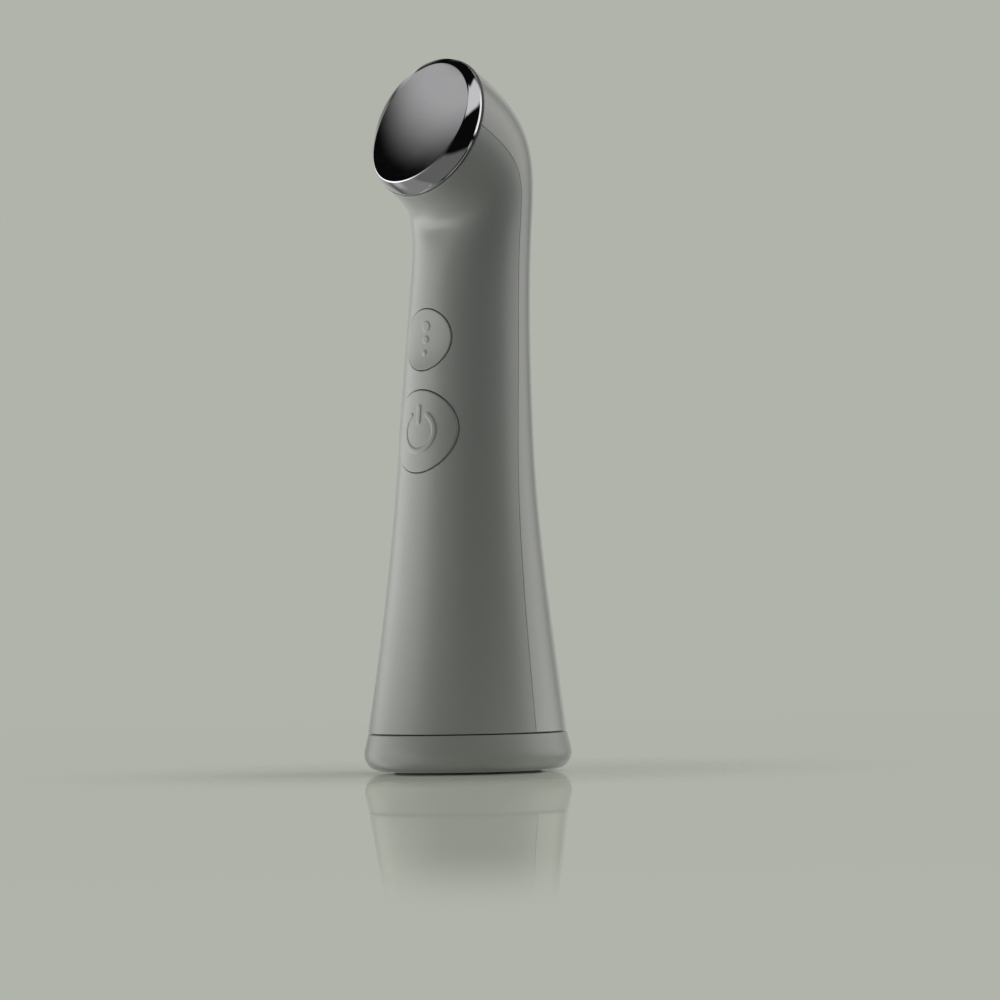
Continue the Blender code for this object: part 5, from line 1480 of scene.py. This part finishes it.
@dataclass
class Cell:
    """A dry cell: a sleeve shrunk over both shoulders, a nub at one end and a flat end."""

    node: str
    nub_up: bool
    nub_radius: float = 1.9 * MM
    nub_height: float = 0.8 * MM
    rounding: float = 0.5 * MM
    fold: float = 0.05 * MM
    opening: float = 3.3 * MM
    lip: float = 0.7 * MM
    sink: float = 0.12 * MM
    colour_share: float = 0.68

    def build(self, name: str) -> None:
        """Make and dress the cell; its mask tells sleeve, coloured sleeve and metal apart.

        Args:
            name: name of the piece.
        """
        start, end, centre = low(self.node), high(self.node), middle(self.node)
        radius, length = (end.x - start.x) / 2, end.z - start.z
        top, change = length - self.nub_height, length * self.colour_share
        lip, sink, fold, opening = self.lip, self.sink, self.fold, self.opening
        rows = [(0, length, 0, 1), (self.nub_radius, length, 6 * fold, 1),
                (self.nub_radius, top - sink, 2 * fold, 1), (opening, top - sink, 0, 1),
                (opening + fold, top - sink, 0, 0.5), (opening + 4 * fold, top, 1.6 * fold, 0.5),
                (radius, top, self.rounding, 0.5), (radius, change, 0, 0.5),
                (radius, change - fold, 0, 0), (radius, 0, self.rounding, 0),
                (radius - lip, 0, 1.6 * fold, 0), (radius - 1.2 * lip, sink, 0, 0),
                (radius - 1.25 * lip, sink, 0, 1), (0, sink, 0, 1)]
        profile, masks = [], []
        for index, (_, _, rounding, mask) in enumerate(rows):
            before, after = rows[max(index - 1, 0)][:2], rows[min(index + 1, len(rows) - 1)][:2]
            corner = [(*before, 0), (*rows[index][:2], rounding), (*after, 0)]
            run = rounded_profile(corner)[1:-1]
            profile.append(run)
            masks.append(np.full(len(run), float(mask)))
        points = turned(np.concatenate(profile), 96)
        if not self.nub_up:
            points[..., 2] = length - points[..., 2]
        skin = Skin(name).add(points + np.array((centre.x, centre.y, start.z)),
                              mask=np.concatenate(masks))
        dress(skin.build(), "cell_sleeve", "wand", self.node)


# Treatment head

@dataclass
class TreatmentHead:
    """The polished head: a round edge at the seam, a band that leans in and an oval domed face.

    Its sizes are measured from the centre of its round edge, across, upward and forward.
    """

    ring_inset: float = 0.3 * MM
    edge: float = 0.6 * MM
    side_inset: float = 2.5 * MM
    end_inset: float = 1.0 * MM
    rise: float = 2.2 * MM
    crown: float = 0.85 * MM
    dome: float = 0.3 * MM
    tilt: float = math.radians(7.3)
    rounding: float = 0.3 * MM
    wall: float = 0.9 * MM
    bulge: float = 0.1 * MM
    boss_radius: float = 2.1 * MM
    bore_radius: float = 1.1 * MM
    boss_share: float = 0.58
    boss_soft: float = 0.15 * MM
    foot_soft: float = 0.14 * MM
    foot_depth: float = 1.35 * MM
    turns: int = 288

    @property
    def ring(self) -> float:
        """Radius of the round edge."""
        return FORM.head_radius - self.ring_inset

    def face_rise(self, across: Array, upward: Array) -> Array:
        """Height of the face: crowned across, slightly domed, and leaned by the tilt.

        Args:
            across: places across the face.
            upward: places up the face.

        Returns:
            Heights over the round edge's plane.
        """
        half_width, half_height = self.ring - self.side_inset, self.ring - self.end_inset
        share = (across / half_width) ** 2 + (upward / half_height) ** 2
        return (self.rise + self.crown * (1 - (across / half_width) ** 2)
                + self.dome * (1 - share) - upward * math.tan(self.tilt))

    def face_rings(self, inset: float, shares: Array, drop: float) -> Array:
        """Ovals of the face, moved in by an inset, shrunk by shares and lowered by a drop.

        Args:
            inset: how far inside the face's rim.
            shares: size of each oval.
            drop: how far under the face.

        Returns:
            One row of points for each oval.
        """
        turn = once_round(self.turns)
        share = np.asarray(shares, dtype=float).reshape(-1, 1)
        across = (self.ring - self.side_inset - inset) * share * np.cos(turn)
        upward = (self.ring - self.end_inset - inset) * share * np.sin(turn)
        return stack(across, upward, self.face_rise(across, upward) - drop)

    def plain_ring(self, radius: float, rise: float) -> Array:
        """Circle of a radius at a height over the ring plane."""
        turn = once_round(self.turns)
        return stack(radius * np.cos(turn), radius * np.sin(turn), rise)

    def band(self, edge: Array, rim: Array, rows: int = 14) -> Array:
        """Rows from the round edge towards the face's rim, slightly bulged outward.

        Each row is (1-t) edge + t rim, moved out by bulge times sin(pi t), less where the band is
        short; the last row stops short of the rim by the rounding.

        Args:
            edge: points of the round edge.
            rim: points of the face's rim.
            rows: how many stretches lie between.

        Returns:
            The rows of points.
        """
        run = rim - edge
        length = np.linalg.norm(run, axis=-1, keepdims=True)
        stop = 1 - np.minimum(self.rounding / length, 0.5)
        t = np.linspace(0, 1, rows + 1)[:, None, None] * stop
        out = edge * np.array((1, 1, 0))
        out = out / np.linalg.norm(out, axis=-1, keepdims=True)
        swell = np.sin(math.pi * t / stop) * np.minimum(length / self.rise, 1) ** 2
        return edge + t * run + self.bulge * swell * out

    def build(self) -> None:
        """Make and dress the head with its two bosses."""
        soft = self.foot_soft
        inner = self.face_rings(self.wall, np.linspace(0, 1, 14), self.wall)
        foot = self.plain_ring(self.ring - self.wall, 0)
        corner = self.plain_ring(self.ring, 0)
        edge = self.plain_ring(self.ring, self.edge)
        rim = self.face_rings(0, [1], 0)[0]
        band = self.band(edge, rim)
        start = self.face_rings(self.rounding, [1], 0)[0]
        toward = (edge - corner) / self.edge
        skin = Skin("polished_head")
        skin.add(inner)
        skin.add(np.stack((inner[-1], foot, self.plain_ring(self.ring - soft, 0))))
        skin.add(bezier(self.plain_ring(self.ring - soft, 0), corner, corner + soft * toward, 6))
        skin.add(np.stack((corner + soft * toward, edge)))
        skin.add(band)
        skin.add(bezier(band[-1], rim, start, 12))
        skin.add(self.face_rings(self.rounding, np.linspace(1, 0, 40), 0))
        for side in (-1, 1):
            offset = side * self.ring * self.boss_share
            top = float(self.face_rise(np.array(offset), np.array(0.0))) - self.wall / 2
            corners = [(0, top - self.wall, 0), (self.bore_radius, top - self.wall, 0),
                       (self.bore_radius, -self.foot_depth, self.boss_soft),
                       (self.boss_radius, -self.foot_depth, self.boss_soft),
                       (self.boss_radius, top, 0), (0, top, 0)]
            skin.add(turned(rounded_profile(corners)[::-1], 48) + np.array((offset, 0, 0)))
        for index, points in enumerate(skin.points):
            skin.points[index] = seated(points, RING_CENTRE, HEAD_FORWARD)
        dress(skin.build(), "chrome", "wand", "treatment_head")


# Carried-over nodes

def dress_rest() -> None:
    """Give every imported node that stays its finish, by its slot in the record."""
    slots = {part["node"]: part["material_slot"] for part in frame["record"]["subparts"]}
    for node, piece in frame["nodes"].items():
        piece.data.materials.clear()
        piece.data.materials.append(MATERIALS[slots[node]])


# Studio

@dataclass(frozen=True)
class SoftBox:
    """A soft box of light, placed by angles from the camera's side of the wand.

    The angles are in degrees: where it starts, is full, starts to fall and ends, across and upward.
    """

    strength: float
    turning: tuple[float, float, float, float]
    rising: tuple[float, float, float, float]
    slant: float = 0.0

    @staticmethod
    def lobe(tree: Tree, value: Socket, edges: tuple[float, ...], middle_angle: float) -> Socket:
        """One between two smooth edges, measured from a middle angle.

        Args:
            tree: the world's tree.
            value: the angle.
            edges: the four angles of the box.
            middle_angle: the angle that value is measured from.

        Returns:
            One inside, zero outside and smooth between.
        """
        start, full, fall, end = (math.radians(edge - middle_angle) for edge in edges)
        return tree.math("MULTIPLY", tree.span(value, start, full),
                         tree.span(value, fall, end, 1.0, 0.0))

    def shape(self, tree: Tree, turn: Socket, rise: Socket) -> Socket:
        """Light of the box in the direction that turn and rise give.

        Args:
            tree: the world's tree.
            turn: the direction's angle across.
            rise: its angle upward.

        Returns:
            The strength of the light.
        """
        centre = (self.turning[0] + self.turning[3]) / 2
        offset = tree.math("SUBTRACT", turn, math.radians(centre))
        turned_away = tree.add("ShaderNodeMath", {0: offset, 1: math.pi, 2: -math.pi},
                               operation="WRAP").outputs[0]
        level = tree.math("SUBTRACT", rise, tree.math("MULTIPLY", turned_away, self.slant))
        across = self.lobe(tree, turned_away, self.turning, centre)
        upward = self.lobe(tree, level, self.rising, 0.0)
        return tree.math("MULTIPLY", tree.math("MULTIPLY", across, upward), self.strength)


@dataclass
class Studio:
    """Pale floor and backdrop, soft boxes of light and the camera that matches the view."""

    backdrop: tuple[float, float, float] = (0.434, 0.456, 0.402)
    distance: float = 1.16885
    eye_height: float = 0.0406
    azimuth: float = math.radians(45)
    yaw: float = math.radians(0.3755)
    pitch: float = math.radians(0.8023)
    roll: float = math.radians(1.0)
    lens: float = 200.0
    sensor: float = 36.0
    floor_radius: float = 0.8
    floor_drop: float = 0.02 * MM
    floor_tones: tuple[tuple[float, ...], ...] = ((0.90, 0.93, 0.84, 1.0), (0.92, 0.95, 0.86, 1.0))
    floor_roughness: float = 0.9
    cloud_scale: float = 30.0
    fade: tuple[float, float] = (0.02, 0.1)
    reflection: float = 0.62
    gloss_fade: tuple[float, float] = (0.33, 0.5)
    gloss_roughness: float = 0.03
    gloss_ior: float = 1.45
    sheen: tuple[float, float, float, float] = (0.97, 1.0, 0.9, 1.0)
    ambient: float = 0.003
    lamp_colour: tuple[float, float, float, float] = (1.0, 1.0, 0.99, 1.0)
    boxes: tuple[SoftBox, ...] = (
        SoftBox(1.5, (-158, -128, -78, -42), (-56, -26, 16, 25)),
        SoftBox(0.08, (-70, -40, -30, -5), (-50, -30, 12, 20)),
        SoftBox(0.14, (10, 24, 60, 75), (18, 34, 60, 70)),
        SoftBox(0.18, (-96, -84, -55, -40), (16, 24, 34, 43)),
        SoftBox(0.42, (-185, -165, -84, -76), (27.9, 33.3, 34.7, 37.2), 0.304),
        SoftBox(1.05, (61, 84, 108, 150), (-14, -6, 42, 66)),
        SoftBox(0.3, (60, 85, 140, 165), (-80, -60, -24, -16)),
        SoftBox(0.13, (-100, -60, 25, 50), (-89, -86, -14, 0)),
        SoftBox(0.22, (-200, -185, -100, -60), (-89, -86, -42, -20)),
        SoftBox(0.65, (-80, -75, -40, -28), (49, 52, 62, 67)),
        SoftBox(0.44, (140, 160, 190, 215), (-30, -20, 30, 45)),
        SoftBox(1.0, (20, 60, 190, 225), (50, 64, 100, 110)),
    )

    def floor(self) -> None:
        """Lay a pale disc that fades into the backdrop with distance and is clear from below."""
        turn = once_round(96)
        radius = np.linspace(0, self.floor_radius, 25)[:, None]
        skin = Skin("studio_floor")
        disc = skin.add(stack(radius * np.cos(turn), radius * np.sin(turn), -self.floor_drop)).build()
        if disc.data.polygons[0].normal.z < 0:
            disc.data.flip_normals()
        material = bpy.data.materials.new("pale_floor")
        material.use_nodes = True
        tree = Tree(material.node_tree)
        nodes = material.node_tree.nodes
        place = tree.add("ShaderNodeTexCoord").outputs["Object"]
        tree.feed(nodes["Principled BSDF"], {
            "Base Color": tree.mix(tree.noise(place, self.cloud_scale), *self.floor_tones),
            "Roughness": self.floor_roughness, "Specular IOR Level": 0.0})
        clear = tree.add("ShaderNodeBsdfTransparent").outputs[0]
        gloss = tree.add("ShaderNodeBsdfGlossy", {"Color": self.sheen,
                                                  "Roughness": self.gloss_roughness}).outputs[0]
        distance = tree.vector("LENGTH", "Value", place)
        faded = tree.blend(tree.span(distance, *self.fade), nodes["Principled BSDF"].outputs[0], clear)
        grazing = tree.add("ShaderNodeFresnel", {"IOR": self.gloss_ior}).outputs["Fac"]
        near = tree.span(distance, *self.gloss_fade, self.reflection, 0.0)
        coated = tree.blend(tree.math("MULTIPLY", grazing, near), faded, gloss)
        under = tree.add("ShaderNodeNewGeometry").outputs["Backfacing"]
        tree.feed(nodes["Material Output"], {"Surface": tree.blend(under, coated, clear)})
        disc.data.materials.clear()
        disc.data.materials.append(material)
        disc.visible_glossy = False

    def light(self) -> None:
        """Light the scene from soft boxes, drawn as smooth lobes of the world's direction."""
        world = bpy.data.worlds.new("studio_light")
        bpy.context.scene.world = world
        world.use_nodes = True
        tree = Tree(world.node_tree)
        world.node_tree.nodes.clear()
        direction = tree.add("ShaderNodeTexCoord").outputs["Generated"]
        side, front = math.sin(self.azimuth), math.cos(self.azimuth)

        def along(axis: tuple[float, float, float]) -> Socket:
            """Share of the direction that lies along an axis."""
            return tree.vector("DOT_PRODUCT", "Value", direction, axis)

        turn = tree.math("ARCTAN2", along((side, front, 0)), along((side, -front, 0)))
        rise = tree.math("ARCSINE", along((0, 0, 1)))
        total = self.ambient
        for box in self.boxes:
            total = tree.math("ADD", total, box.shape(tree, turn, rise))
        lamp = tree.add("ShaderNodeBackground", {"Color": self.lamp_colour, "Strength": total})
        plain = tree.add("ShaderNodeBackground", {"Color": (*self.backdrop, 1.0), "Strength": 1.0})
        seen = tree.add("ShaderNodeLightPath").outputs["Is Camera Ray"]
        tree.add("ShaderNodeOutputWorld",
                 {"Surface": tree.blend(seen, lamp.outputs[0], plain.outputs[0])})

    def camera(self) -> None:
        """Place the camera at the view's own angle."""
        base = Vector((-math.sin(self.azimuth), math.cos(self.azimuth), 0))
        eye = Vector((0, 0, self.eye_height)) - self.distance * base
        ahead = Matrix.Rotation(-self.yaw, 3, "Z") @ base
        view = ahead * math.cos(self.pitch) + Vector((0, 0, math.sin(self.pitch)))
        level = Vector((ahead.y, -ahead.x, 0))
        upright = level.cross(view)
        right = math.cos(self.roll) * level - math.sin(self.roll) * upright
        top = math.sin(self.roll) * level + math.cos(self.roll) * upright
        data = bpy.data.cameras.new("view")
        data.lens = self.lens
        data.sensor_width = self.sensor
        camera = bpy.data.objects.new("view", data)
        turn = Matrix((right, top, -view)).transposed().to_4x4()
        camera.matrix_world = Matrix.Translation(eye) @ turn
        bpy.context.scene.collection.objects.link(camera)
        bpy.context.scene.camera = camera

    def build(self) -> None:
        """Set up the floor, the light, the camera and the plain view transform."""
        self.floor()
        self.light()
        self.camera()
        bpy.context.scene.view_settings.view_transform = "Standard"


def main() -> None:
    """Build the wand in order, dress it and set up the studio."""
    logging.basicConfig(level=logging.INFO, format="%(name)s %(message)s")
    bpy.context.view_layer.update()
    make_materials()
    dress_rest()
    log.info("finishes: %d", len(MATERIALS))
    BaseCap().build()
    Shell().build()
    Button(Mark.POWER, POWER_HEIGHT, POWER_RADIUS, "power").build("power_cap", "power_button")
    Button(Mark.DOTS, MODE_HEIGHT, MODE_RADIUS, "mode", proud=0.12 * MM, edge=0.12 * MM,
           dish=0.7 * MM).build("mode_cap", "mode_button")
    Cell("battery_left", True).build("left_cell")
    Cell("battery_right", False).build("right_cell")
    cell_spring("upper_spring_coil", "upper_cell_spring", "wand")
    TreatmentHead().build()
    Studio().build()


if __name__ == "__main__":
    main()
